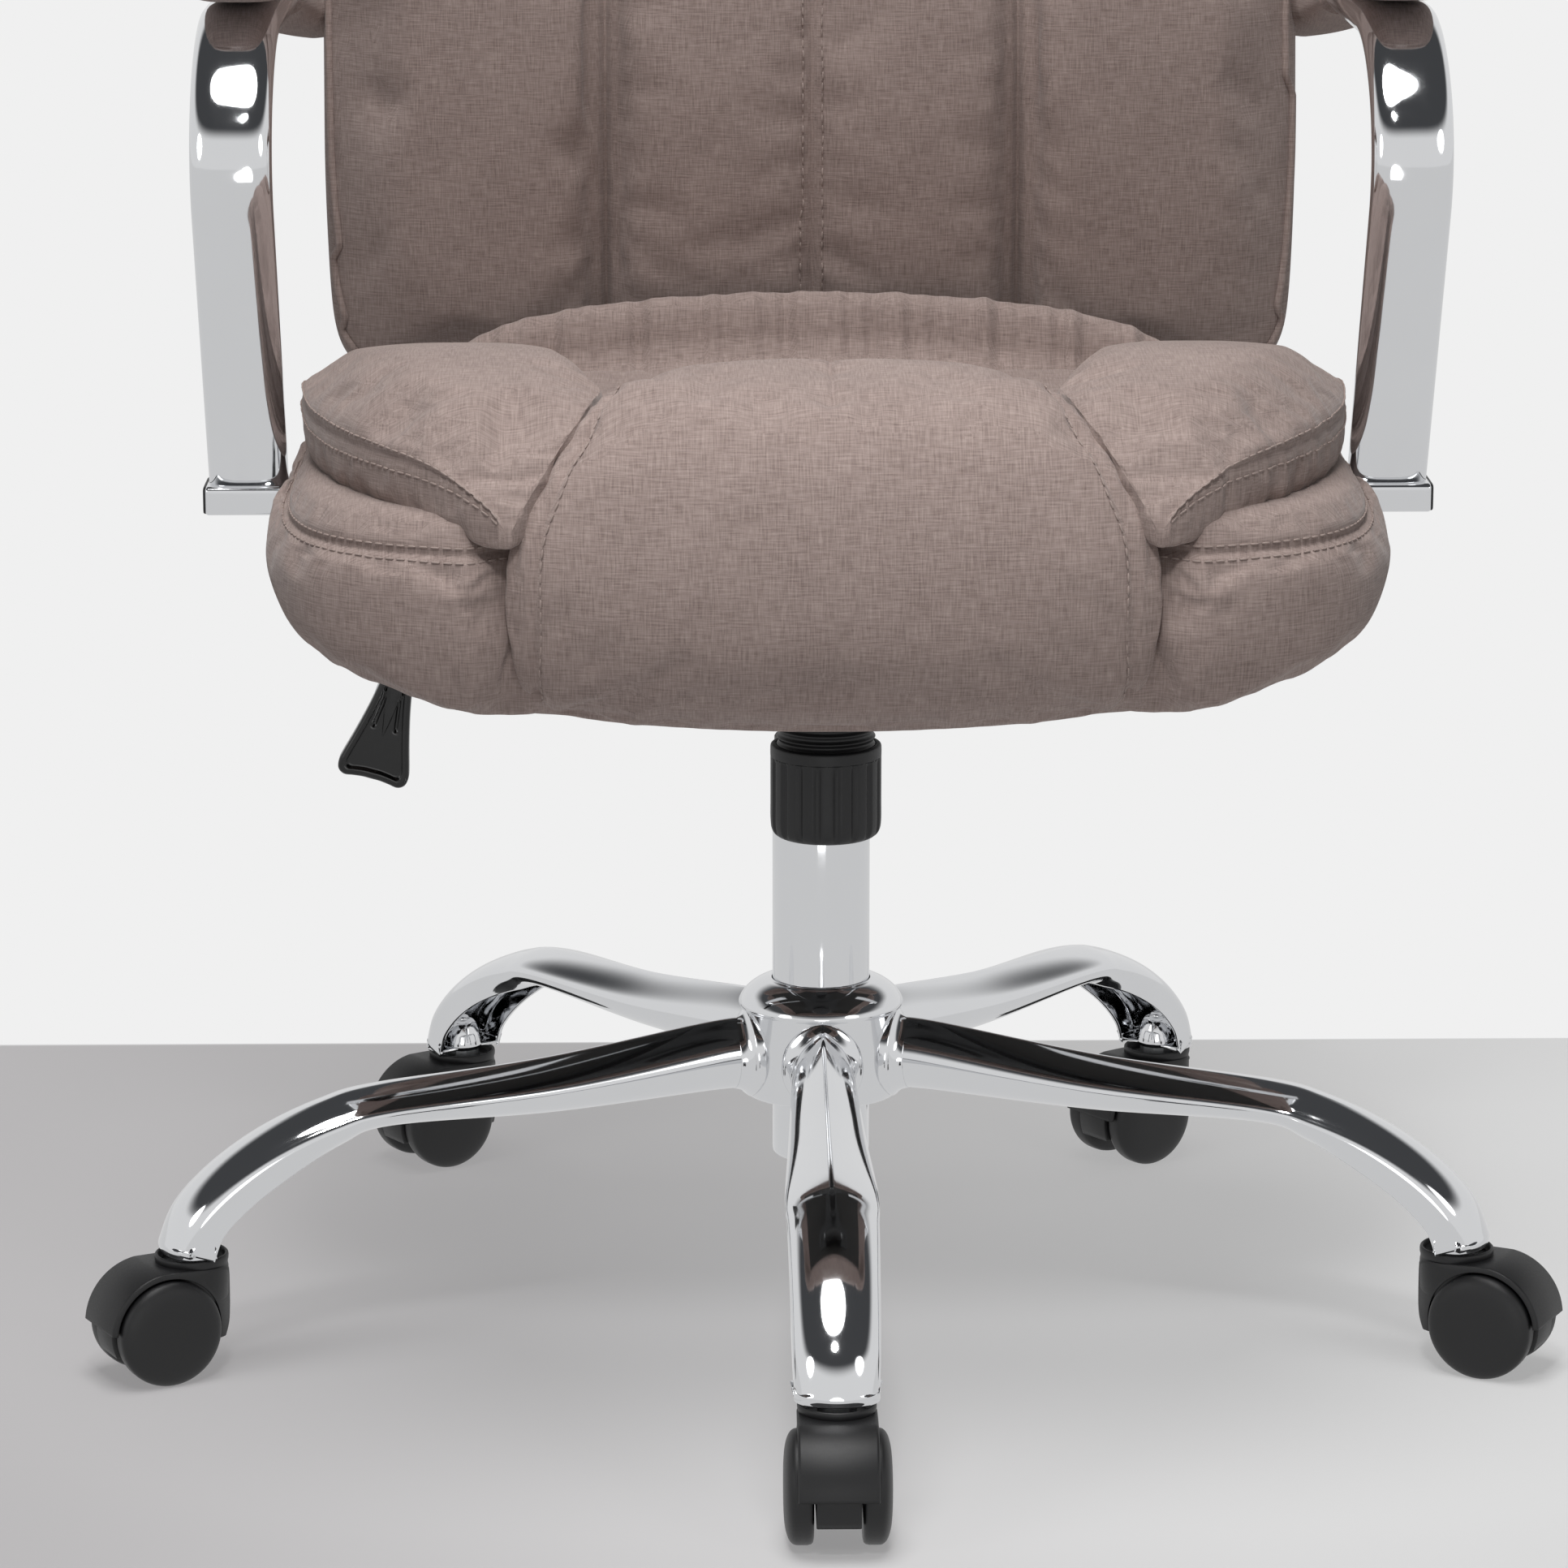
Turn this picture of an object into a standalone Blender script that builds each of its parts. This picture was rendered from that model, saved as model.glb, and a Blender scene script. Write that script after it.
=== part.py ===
"""Upholstered swivel chair on a five-star chrome base, in metres, +Z up.

The origin is on the floor under the column's axis. The sitter faces -Y.
Pieces that touch keep the gap called GAP.
"""

import math

import bmesh
import bpy
import numpy as np
from mathutils import Matrix, Vector

# Fits and edges
GAP = 0.0003            # between pieces that touch
RUN = 0.0008            # between pieces that turn past each other
EDGE = 0.001            # small broken edges
SHARP_DEG = 40.0        # edges over this angle are drawn crisp
WELD = 0.000001         # points closer than this are one

# Five-star base
ARM_COUNT = 5
FIRST_ARM_DEG = -90.0
STEM_CIRCLE_R = 0.335      # castor stems, from the column's axis
HUB_R = 0.0425
HUB_UNDER = 0.0005         # hub below its arm sockets
HUB_OVER = 0.0155          # neck and rim above them
HUB_RIM_H = 0.006
HUB_NECK_IN = 0.0055
HUB_SHOULDER_H = 0.004
HUB_EDGE = 0.003
HUB_POCKET_WALL = 0.0085   # metal between the bore and an arm's end
COLLAR_REACH = 0.017       # arm socket beyond the hub's side
COLLAR_WALL = 0.0035
COLLAR_FLARE = 0.002
ARM_WALL = 0.0018
ARM_ROOT_W = 0.032
ARM_ROOT_D = 0.036
ARM_ROOT_TOP_Z = 0.157
ARM_ROOT_OPENING = 0.16    # of a full opening, at the seam under the root
ARM_CROWN = 0.55           # of an arm's depth, its rounded top
ARM_CROWN_SPAN = 0.6       # of the skin's points, on that top
ARM_DIP = 0.65             # of the fall to the waist, reached midway
ARM_WAIST_W = 0.045
ARM_WAIST_D = 0.0205
ARM_WAIST_TOP_Z = 0.1405
ARM_WAIST_IN = 0.100       # waist, inwards of the stem circle
ARM_ELBOW_REACH = 0.050    # pull of the elbow's curve at the waist
ARM_ELBOW_RISE = 0.030     # pull of the curve above the arm's end
ARM_ELBOW_EASE = 0.004     # drop at the waist and draw-in at the end
ARM_OPEN_START = 0.30      # opening at the waist and how fast it grows
ARM_OPEN_RATE = 1.3
ARM_END_W = 0.040
ARM_END_D = 0.024
ARM_END_OUT = 0.0155       # outer skin, outwards of the stem circle
ARM_END_STRAIGHT = 0.006   # upright stretch that holds the castor's socket

# Castors
WHEEL_R = 0.027
WHEEL_W = 0.014
WHEEL_DISH = 0.0012
WHEEL_RIM = 0.0035         # rounded edge of the outer face
WHEEL_BEVEL = 0.003        # slope from the rim to the dish
WHEEL_FACE_WALL = 0.0032   # outside the axle's blind hole
WEB_W = 0.021              # hood's web between the wheels
WEB_BOTTOM_Z = 0.015
WEB_FOOT_HALF = 0.011
TRAIL = 0.020              # stem axis to axle
HOOD_SKIN = 0.0027
HOOD_COLLAR_R = 0.0165
HOOD_COLLAR_TAPER = 0.003
HOOD_BROW = 0.004          # step from the collar's top to the hood
HOOD_CREST_DEG = 80.0      # where the hood's round back starts, about the axle
HOOD_TAIL_DEG = -4.0       # where it ends
HOOD_TAIL_LIP_DEG = 8.0
HOOD_ROUND = 0.0018
AXLE_R = 0.003
STEM_R = 0.0055
STEM_SEAT_Z = 0.032        # bottom of the stem's hole in the hood
STEM_FLANGE_R = 0.0095
STEM_FLANGE_H = 0.0046
STEM_GRIP = 0.0135         # stem above the arm's end
SOCKET_PLATE_H = 0.002
SOCKET_R = 0.0112
SOCKET_ROOF = 0.0022
SOCKET_SKIRT_H = 0.008
RIVET_R = 0.0042
RIVET_H = 0.0026
# Which way each castor trails, in the order of the arms
CASTOR_TRAIL_DEG = (-90.0, -28.0, 217.0, 215.0, 208.0)

# Gas lift
TUBE_R = 0.025
TUBE_WALL = 0.002
TUBE_UNDER = 0.035         # tube below the hub
TUBE_FLOOR = 0.004
TUBE_TO_HOUSING = 0.040    # bare cylinder between them at the lowest height
BUSH_L = 0.080
BUSH_LIP_H = 0.003
CYLINDER_R = 0.014
CYLINDER_WALL = 0.0025
CYLINDER_FOOT = 0.005
CYLINDER_FOOT_OVER = 0.053 # foot above the tube's bottom
CYLINDER_HEAD = 0.026      # solid metal over the gas bore
CYLINDER_IN = 0.026        # top above the housing's floor
TAPER_L = 0.034
TAPER_IN = 0.0012          # radius lost along the taper
ROD_R = 0.005
ROD_SHOULDER_R = 0.009
ROD_SHOULDER_H = 0.008
ROD_TAIL = 0.0035          # rod below the tube's floor
BEARING_R = 0.0135
BEARING_H = 0.0117
BEARING_RACE_H = 0.003
BEARING_GROOVE = 0.002
PISTON_H = 0.008
PISTON_OVERRUN = 0.005     # piston above the foot at full stroke
LIFT_STROKE = 0.090
PIN_R = 0.004
PIN_PROUD = 0.006
PIN_L = 0.014
PIN_TRAVEL = 0.0055

# Tilt mechanism
BOARD_Z = 0.424            # underside of the seat board
PIVOT_IN = 0.117           # pivot behind the seat's front
PIVOT_DROP = 0.0357        # pivot below the tilt plate
PIVOT_R = 0.005
PIVOT_HEAD_R = 0.008
PIVOT_HEAD_H = 0.003
TILT_MAX_DEG = 10.0
PLATE_T = 0.003
PLATE_FRONT = 0.020        # plate ahead of the pivot
PLATE_REAR_Y = 0.135
PLATE_HALF_W = 0.095
PLATE_WAIST_HALF_W = 0.062
PLATE_TAB_L = 0.060
PLATE_TAB_SLOPE = 0.030
PLATE_CORNER = 0.012
PLATE_SLOT_L = 0.022
PLATE_SLOT_R = 0.0035
PLATE_SLOT_IN = 0.018      # slot's middle from the plate's side
EAR_T = 0.003
EAR_R = 0.013
EAR_SPREAD = 0.012         # ear wider behind, where it joins the plate
HOUSING_HALF_W = 0.048
HOUSING_WALL = 0.0025
HOUSING_FLOOR = 0.003
HOUSING_DEPTH = 0.036      # floor's underside below the pivot
HOUSING_FRONT = 0.023      # housing ahead of the pivot
HOUSING_REAR_Y = 0.042
HOUSING_NOSE = 0.015       # slope at the front, along and up
HOUSING_NOSE_DROP = 0.010
HOUSING_HEEL = 0.006
HOUSING_HEADROOM = 0.003   # under the plate at full tilt
SEAT_BOSS_WALL = 0.006     # boss round the gas lift's taper
SEAT_BOSS_DROP = 0.009
SPRING_IN = 0.055          # spring behind the pivot
SPRING_R = 0.0172          # middle of the wire
SPRING_WIRE_R = 0.0027
SPRING_TURNS = 8
SPRING_CLEAR = 0.0016      # to the sleeve round it
SPRING_PEG_H = 0.006
SLEEVE_WALL = 0.003
SLEEVE_L = 0.041
SLEEVE_FLANGE = 0.0055     # flange beyond the sleeve
SLEEVE_FLANGE_H = 0.003
KNOB_WALL = 0.0027
KNOB_DROP = 0.027          # top below the housing's floor
KNOB_H = 0.0475
KNOB_FLOOR = 0.0075
KNOB_ROUND = 0.008         # rounded foot: its height and its draw-in
KNOB_ROUND_IN = 0.006
KNOB_FLUTES = 18
KNOB_FLUTE_R = 0.0019
KNOB_FLUTE_OUT = 0.0007    # flute's middle outside the knob
KNOB_FLUTE_TOP = 0.006     # plain band above the flutes
CUP_H = 0.005
CUP_BOSS_R = 0.011
CUP_BOSS_H = 0.005

# Height lever
LEVER_ROD_R = 0.0035
FULCRUM_OVER = 0.0025      # above the gas lift's top
LEVER_BUSH_L = 0.036
LEVER_BUSH_R = 0.0078
LEVER_BUSH_LIP = 0.001
LEVER_BOSS_WALL = 0.0024
LEVER_BOSS_L = 0.018
LEVER_PAST_PIN = 0.018
LEVER_KNEE_X = -0.160
LEVER_KNEE_PULL = 0.62     # how long the rod keeps straight past its knee
PADDLE_X = -0.231
PADDLE_DROP = 0.0405       # its top below the fulcrum
PADDLE_H = 0.0605
PADDLE_HALF_W = 0.019
PADDLE_NECK_HALF_W = 0.0085
PADDLE_WAVE = 0.0016       # height of the waves along its foot
PADDLE_T = 0.012
PADDLE_ROUND = 0.0025
PADDLE_GRIP = 0.030        # rod inside the paddle

# Seat, with heights above the board's underside
SEAT_HALF_W = 0.2725
SEAT_FRONT_Y = -0.272
SEAT_REAR_Y = 0.212
SEAT_CREST = 0.104
SEAT_DIP = 0.058
SEAT_PILLOW = 0.108
SEAT_PILLOW_FALL = 0.020   # pillow's crown over its ends
SEAT_REAR_RISE = 0.020
SEAT_LIP_DROP = 0.066      # front lip below the board's underside
SEAT_LIP_L = 0.17          # over which the underside falls to the lip
SEAT_LIP_START_Y = -0.05
SEAT_CORNER_RISE = 0.030   # underside at the front corners
SEAT_SEAM_X = 0.140        # channel beside the middle panel
SEAT_SEAM_W = 0.014
SEAT_PANEL_SLOPE = 0.050   # from the channel up to the pillow
SEAT_CHANNEL = 0.016
SEAT_REAR_TUCK = 0.008     # narrower towards the back
SEAT_SKIN = 0.002          # cushion's underside above the board's
BOARD_T = 0.012
BOARD_HALF_W = 0.185
BOARD_REAR_IN = 0.047      # board's end inside the cushion's
BOARD_BEND_AHEAD = 0.006   # roll starts ahead of the tilt plate
BOARD_BEND_R = 0.050
BOARD_BEND_DEG = 45.0
BOARD_POCKET = 0.120       # cut under the board

# Back, along the cushion from its foot
BACK_HALF_W = 0.2665
BACK_FOOT_OVER = 0.010     # above the seat board's underside
BACK_L = 0.721
BACK_T = 0.105
SEAT_TO_BACK = 0.004       # seat's rear to the back's front at its foot
BACK_LEAN_DEG = 10.0
BACK_SEAM_X = 0.112
BACK_SEAM_W = 0.012
BACK_CHANNEL = 0.016
BACK_MIDDLE_SEAM = 0.0064
BACK_HEAD_SEAM = 0.501
BACK_HEAD_CHANNEL = 0.019
BACK_HEAD_SEAM_W = 0.016
BACK_LUMBAR = 0.016        # swell of the small of the back
BACK_PILLOW = 0.012        # swell of the head pillow
BACK_SHOULDER_IN = 0.026
BACK_FOOT_IN = 0.008
BACK_BOARD_T = 0.010
BACK_BOARD_PROUD = 0.0015
BACK_BOARD_HALF_W = 0.205
BACK_BOARD_FOOT = 0.071
BACK_BOARD_L = 0.580
BACK_BOARD_ROUND = 0.0012

# Arms, with heights above the seat board's underside
SEAT_TO_LOOP = 0.0015
LOOP_W = 0.041
LOOP_T = 0.020
POST_FOOT_Y = 0.070
POST_KNEE_Y = -0.004
POST_KNEE = 0.146
LOOP_RUN_Y = 0.080
LOOP_RUN = 0.236
LOOP_PULL = 0.62           # roundness of the elbow
LOOP_REAR_Y = 0.215
LOOP_END = 0.216
LOOP_END_IN = 0.010        # run into the back's side, then trimmed to it
FOOT_T = 0.0155
FOOT_W = 0.038
FOOT_TO_PLATE = 0.025
FOOT_OVER = 0.0225         # bar's end outside the post's middle
PAD_FRONT_Y = 0.028
PAD_REAR_Y = 0.238
PAD_H = 0.042
PAD_HALF_W = 0.030

# Facets and grid lines
HUB_STEPS = 25
TUBE_STEPS = 28
LIFT_STEPS = 20
SLEEVE_STEPS = 24
BOSS_STEPS = 18
WHEEL_STEPS = 16
BUSH_STEPS = 14
SHAFT_STEPS = 12
STEM_STEPS = 10
SMALL_STEPS = 8
SPRING_POINTS = 8          # to a turn
ARM_SKIN_POINTS = 11       # across an arm's sheet
ARM_ELBOW_POINTS = 6
LOOP_POINTS = 12           # round the loop's tube
SEAT_LINES = (0.0, 0.2, 0.38, 0.74, 0.86, 0.95, 1.0)   # from the middle to a side
BACK_LINES = (0.0, 0.06, 0.22, 0.62, 0.8, 0.93, 1.0)
BACK_RISERS = (-1.0, -0.9, -0.72, -0.5, -0.25, 0.0, 0.7, 0.86, 0.96, 1.0)   # foot to top
SEAM_LINE = 0.05           # grid lines to each side of a seam

# Derived places
TWO_PI = 2.0 * math.pi
ARM_TURNS = [math.radians(FIRST_ARM_DEG) + TWO_PI * i / ARM_COUNT for i in range(ARM_COUNT)]
HUB_BOTTOM_Z = ARM_ROOT_TOP_Z - ARM_ROOT_D - COLLAR_WALL - HUB_UNDER
HUB_TOP_Z = ARM_ROOT_TOP_Z + COLLAR_WALL + HUB_OVER
BORE_R = (TUBE_R + GAP) / math.cos(math.pi / HUB_STEPS)
ARM_ROOT_R = BORE_R + HUB_POCKET_WALL
COLLAR_END_R = HUB_R + COLLAR_REACH
HOOD_TOP_Z = 2.0 * WHEEL_R + RUN + HOOD_SKIN
ARM_END_Z = HOOD_TOP_Z + STEM_FLANGE_H + 3.0 * GAP
STEM_TOP_Z = ARM_END_Z + STEM_GRIP
PIVOT_Y = SEAT_FRONT_Y + PIVOT_IN
SPRING_Y = PIVOT_Y + SPRING_IN
PLATE_Z = BOARD_Z - GAP - PLATE_T
PIVOT_Z = PLATE_Z - PIVOT_DROP
HOUSING_FLOOR_Z = PIVOT_Z - HOUSING_DEPTH
SEAT_BOSS_BOTTOM_Z = HOUSING_FLOOR_Z - SEAT_BOSS_DROP
TUBE_TOP_Z = SEAT_BOSS_BOTTOM_Z - TUBE_TO_HOUSING
TUBE_BOTTOM_Z = HUB_BOTTOM_Z - TUBE_UNDER
CYLINDER_TOP_Z = HOUSING_FLOOR_Z + CYLINDER_IN
CYLINDER_BOTTOM_Z = TUBE_BOTTOM_Z + CYLINDER_FOOT_OVER
PIN_TOP_Z = CYLINDER_TOP_Z + PIN_PROUD
SLEEVE_IN_R = SPRING_R + SPRING_WIRE_R + SPRING_CLEAR
SLEEVE_R = SLEEVE_IN_R + SLEEVE_WALL
KNOB_R = SLEEVE_R + GAP + KNOB_WALL
KNOB_TOP_Z = HOUSING_FLOOR_Z - KNOB_DROP
KNOB_BOTTOM_Z = KNOB_TOP_Z - KNOB_H
FULCRUM_X = -HOUSING_HALF_W
FULCRUM_Z = CYLINDER_TOP_Z + FULCRUM_OVER
PADDLE_TOP_Z = FULCRUM_Z - PADDLE_DROP
PADDLE_BOTTOM_Z = PADDLE_TOP_Z - PADDLE_H
BOARD_BEND_Y = PIVOT_Y - max(PLATE_FRONT, HOUSING_FRONT) - BOARD_BEND_AHEAD
BOARD_REAR_Y = SEAT_REAR_Y - BOARD_REAR_IN
BACK_FOOT_Y = SEAT_REAR_Y + SEAT_TO_BACK + BACK_T / 2.0
BACK_FOOT_Z = BOARD_Z + BACK_FOOT_OVER
LOOP_X = SEAT_HALF_W + SEAT_TO_LOOP + LOOP_W / 2.0
POST_KNEE_Z = BOARD_Z + POST_KNEE
LOOP_RUN_Z = BOARD_Z + LOOP_RUN
LOOP_END_Z = BOARD_Z + LOOP_END
LOOP_END_Y = BACK_FOOT_Y + (LOOP_END_Z - BACK_FOOT_Z) * math.tan(math.radians(BACK_LEAN_DEG))


# Scene helpers

def clear_scene():
    for item in list(bpy.data.objects):
        bpy.data.objects.remove(item, do_unlink=True)


def make_collection(name):
    group = bpy.data.collections.new(name)
    bpy.context.scene.collection.children.link(group)
    return group


def make_material(name, hex_colour, roughness, metallic):
    """A Principled material from an sRGB hex colour."""
    material = bpy.data.materials.new(name)
    material.use_nodes = True
    shader = material.node_tree.nodes["Principled BSDF"]
    srgb = [int(hex_colour[i:i + 2], 16) / 255.0 for i in (0, 2, 4)]
    linear = [c / 12.92 if c <= 0.04045 else ((c + 0.055) / 1.055) ** 2.4 for c in srgb]
    shader.inputs["Base Color"].default_value = (*linear, 1.0)
    shader.inputs["Roughness"].default_value = roughness
    shader.inputs["Metallic"].default_value = metallic
    material.diffuse_color = (*linear, 1.0)
    return material


def add_part(name, mesh, material, parent=None, matrix=None):
    """Put a mesh in the chair's collection, at a place given in the world."""
    part = bpy.data.objects.new(name, mesh)
    PARTS.objects.link(part)
    if not mesh.materials:
        mesh.materials.append(material)
    mesh.shade_smooth()
    mesh.set_sharp_from_angle(angle=math.radians(SHARP_DEG))
    world = matrix or Matrix.Identity(4)
    if parent:
        part.parent = parent
        part.matrix_parent_inverse = parent.matrix_world.inverted()
    part.matrix_basis = world
    return part


def add_empty(name, location, turn_z=0.0):
    """An empty on a joint's axis, which the moving pieces hang from."""
    empty = bpy.data.objects.new(name, None)
    empty.empty_display_size = TRAIL
    PARTS.objects.link(empty)
    empty.matrix_world = Matrix.Translation(location) @ Matrix.Rotation(turn_z, 4, "Z")
    bpy.context.view_layer.update()
    return empty


def add_tool(name, mesh):
    """A hidden mesh that cuts or is joined to a part."""
    tool = bpy.data.objects.new(name, mesh)
    TOOLS.objects.link(tool)
    tool.hide_render = True
    tool.display_type = "WIRE"
    return tool


def combine(part, mesh, operation):
    """Add a Boolean with a hidden tool: DIFFERENCE cuts, UNION welds."""
    tool = add_tool(f"{part.name}_{operation.lower()}_{len(part.modifiers)}", mesh)
    change = part.modifiers.new(tool.name, "BOOLEAN")
    change.operation = operation
    change.solver = "EXACT"
    change.object = tool
    return change


def baked(part):
    """The part's evaluated mesh, so that copies can share it."""
    bpy.context.view_layer.update()
    graph = bpy.context.evaluated_depsgraph_get()
    return bpy.data.meshes.new_from_object(part.evaluated_get(graph))


def bake_and_drop(part):
    """Evaluate a working object to a mesh and remove the object."""
    mesh = baked(part)
    bpy.data.objects.remove(part, do_unlink=True)
    return mesh


# Mesh makers

def turned(name, profile, steps, closed=True):
    """Revolve a profile of (radius, z) about Z; its outer side runs down."""
    mesh = bpy.data.meshes.new(name)
    count = len(profile)
    edges = [(i, i + 1) for i in range(count - 1)]
    if closed:
        edges.append((count - 1, 0))
    mesh.from_pydata([(r, 0.0, z) for r, z in profile], edges, [])
    work = add_tool(f"{name}_profile", mesh)
    screw = work.modifiers.new("Turn", "SCREW")
    screw.axis = "Z"
    screw.angle = TWO_PI
    screw.steps = steps
    screw.render_steps = steps
    screw.use_merge_vertices = True
    screw.merge_threshold = WELD
    return bake_and_drop(work)


def flat(name, loops, thickness):
    """Fill outlines in XY, inner loops being holes, to a slab centred on Z."""
    curve = bpy.data.curves.new(name, "CURVE")
    curve.dimensions = "2D"
    curve.fill_mode = "BOTH"
    curve.extrude = thickness / 2.0
    for loop in loops:
        spline = curve.splines.new("POLY")
        spline.points.add(len(loop) - 1)
        spline.use_cyclic_u = True
        for point, (x, y) in zip(spline.points, loop):
            point.co = (x, y, 0.0, 1.0)
    return welded(bake_and_drop(add_tool(f"{name}_outline", curve)))


def wire(name, points, radius, resolution):
    """A round tube with filled ends along points."""
    curve = bpy.data.curves.new(name, "CURVE")
    curve.dimensions = "3D"
    curve.bevel_depth = radius
    curve.bevel_resolution = resolution
    curve.use_fill_caps = True
    spline = curve.splines.new("POLY")
    spline.points.add(len(points) - 1)
    for point, place in zip(spline.points, points):
        point.co = (*place, 1.0)
    return welded(bake_and_drop(add_tool(f"{name}_path", curve)))


def welded(mesh):
    """Close a curve's loose caps and face the body outwards."""
    work = bmesh.new()
    work.from_mesh(mesh)
    bmesh.ops.remove_doubles(work, verts=work.verts, dist=WELD)
    bmesh.ops.recalc_face_normals(work, faces=work.faces)
    work.to_mesh(mesh)
    work.free()
    return mesh


def cylinder(name, radius, length, segments, matrix, top_radius=None):
    """A capped cylinder or cone, centred on its matrix, along its Z."""
    mesh = bpy.data.meshes.new(name)
    work = bmesh.new()
    bmesh.ops.create_cone(
        work, cap_ends=True, segments=segments, radius1=radius,
        radius2=radius if top_radius is None else top_radius,
        depth=length, matrix=matrix,
    )
    work.to_mesh(mesh)
    work.free()
    return mesh


def box(name, low, high):
    """A cuboid between two corners."""
    mesh = bpy.data.meshes.new(name)
    low, high = Vector(low), Vector(high)
    place = Matrix.Translation((low + high) / 2.0) @ Matrix.Diagonal((*(high - low), 1.0))
    work = bmesh.new()
    bmesh.ops.create_cube(work, size=1.0, matrix=place)
    work.to_mesh(mesh)
    work.free()
    return mesh


def loft(name, rings, closed):
    """Skin rows of points; closed rows are capped, open rows make a sheet."""
    rows, count, _ = rings.shape
    index = np.arange(rows * count).reshape(rows, count)
    across = np.roll(index, -1, axis=1) if closed else index[:, 1:]
    near = index if closed else index[:, :-1]
    quads = np.stack((near[:-1], across[:-1], across[1:], near[1:]), axis=-1).reshape(-1, 4)
    faces = [tuple(int(i) for i in quad) for quad in quads]
    if closed:
        faces.append(tuple(int(i) for i in index[0][::-1]))
        faces.append(tuple(int(i) for i in index[-1]))
    mesh = bpy.data.meshes.new(name)
    mesh.from_pydata(rings.reshape(-1, 3).tolist(), [], faces)
    if closed:
        welded(mesh)
    return mesh


def block(name, cuts, shape):
    """A cube primitive cut into a grid, its points moved by shape(a, b, c)."""
    mesh = bpy.data.meshes.new(name)
    work = bmesh.new()
    bmesh.ops.create_cube(work, size=2.0)
    for axis, count in enumerate(cuts):
        along = [
            edge for edge in work.edges
            if abs(edge.verts[0].co[axis] - edge.verts[1].co[axis]) > 1.5
        ]
        bmesh.ops.subdivide_edges(work, edges=along, cuts=count, use_grid_fill=True)
    bmesh.ops.recalc_face_normals(work, faces=work.faces)
    work.to_mesh(mesh)
    work.free()
    points = np.empty(len(mesh.vertices) * 3)
    mesh.vertices.foreach_get("co", points)
    moved = np.stack(shape(*points.reshape(-1, 3).T), axis=-1)
    mesh.vertices.foreach_set("co", moved.reshape(-1))
    mesh.update()
    return mesh


def rounded(part, width, segments=2, angle_deg=SHARP_DEG):
    """Round a part's sharp edges."""
    bevel = part.modifiers.new("Round", "BEVEL")
    bevel.width = width
    bevel.segments = segments
    bevel.limit_method = "ANGLE"
    bevel.angle_limit = math.radians(angle_deg)
    bevel.use_clamp_overlap = True
    return bevel


def arc(centre, radius, start_deg, end_deg, count):
    """Points on an arc, both ends included."""
    turns = np.radians(np.linspace(start_deg, end_deg, count))
    return [(centre[0] + radius * math.cos(t), centre[1] + radius * math.sin(t)) for t in turns]


def bezier(points, count):
    """Points on a cubic through the first and last of four points."""
    p = [np.array(point, float) for point in points]
    t = np.linspace(0.0, 1.0, count)[:, None]
    u = 1.0 - t
    return u ** 3 * p[0] + 3.0 * t * u ** 2 * p[1] + 3.0 * t ** 2 * u * p[2] + t ** 3 * p[3]


def hole(radius, steps):
    """Corner radius of a faceted hole whose flats clear a shaft by GAP."""
    return (radius + GAP) / math.cos(math.pi / steps)


def smooth_step(x):
    """An eased rise from 0 to 1 while x goes from 0 to 1."""
    t = np.clip(x, 0.0, 1.0)
    return t * t * (3.0 - 2.0 * t)


def bump(x, width):
    """A bell curve of height 1."""
    return np.exp(-(x / width) ** 2)


def puffed(a, b, c, round_top, round_under):
    """Round a cube grid: its sides' draw-in, and its height from -1 to 1.

    Roundness 1 gives the ball that a cube can be moved to; 0 leaves the cube.
    """
    edge = np.where(c > 0.0, round_top, round_under)
    draw = np.sqrt(1.0 - edge * c ** 2 / 2.0)
    rise = c * np.sqrt(1.0 - edge * (a ** 2 + b ** 2) / 2.0 + edge ** 2 * a ** 2 * b ** 2 / 3.0)
    return draw, rise


def at_side(x):
    """Shifts a slab drawn at X = 0 to its place across the chair."""
    return Matrix.Translation((x, 0.0, 0.0))


def at_height(z):
    return Matrix.Translation((0.0, 0.0, z))


def side_to_world():
    """Turns an outline drawn as (Y, Z) into a slab across X."""
    return Matrix(((0, 0, 1, 0), (1, 0, 0, 0), (0, 1, 0, 0), (0, 0, 0, 1)))


def front_to_world():
    """Turns an outline drawn as (X, Z) into a slab across Y."""
    return Matrix(((1, 0, 0, 0), (0, 0, -1, 0), (0, 1, 0, 0), (0, 0, 0, 1)))


def moved(mesh, matrix):
    mesh.transform(matrix)
    return mesh


def along_x(place):
    """A cylinder's matrix with its axis along X."""
    return Matrix.Translation(place) @ Matrix.Rotation(math.pi / 2.0, 4, "Y")


# Base

def arm_section(half_w, depth, opening, s):
    """Sideways and downward places round an arm's skin, s from -1 to 1.

    The top is half an ellipse. Below it the walls close to a seam when opening
    is 0 and hang straight down when it is 1.
    """
    crown = ARM_CROWN * depth
    upper = np.clip(np.abs(s) / ARM_CROWN_SPAN, 0.0, 1.0) * math.pi / 2.0
    lower = np.clip((np.abs(s) - ARM_CROWN_SPAN) / (1.0 - ARM_CROWN_SPAN), 0.0, 1.0)
    closing = np.cos(lower * math.pi / 2.0) * (1.0 - opening) + opening
    falling = np.sin(lower * math.pi / 2.0) * (1.0 - opening) + lower * opening
    side = np.sign(s) * half_w * np.sin(upper) * closing
    return side, crown * (1.0 - np.cos(upper)) + (depth - crown) * falling


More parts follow.
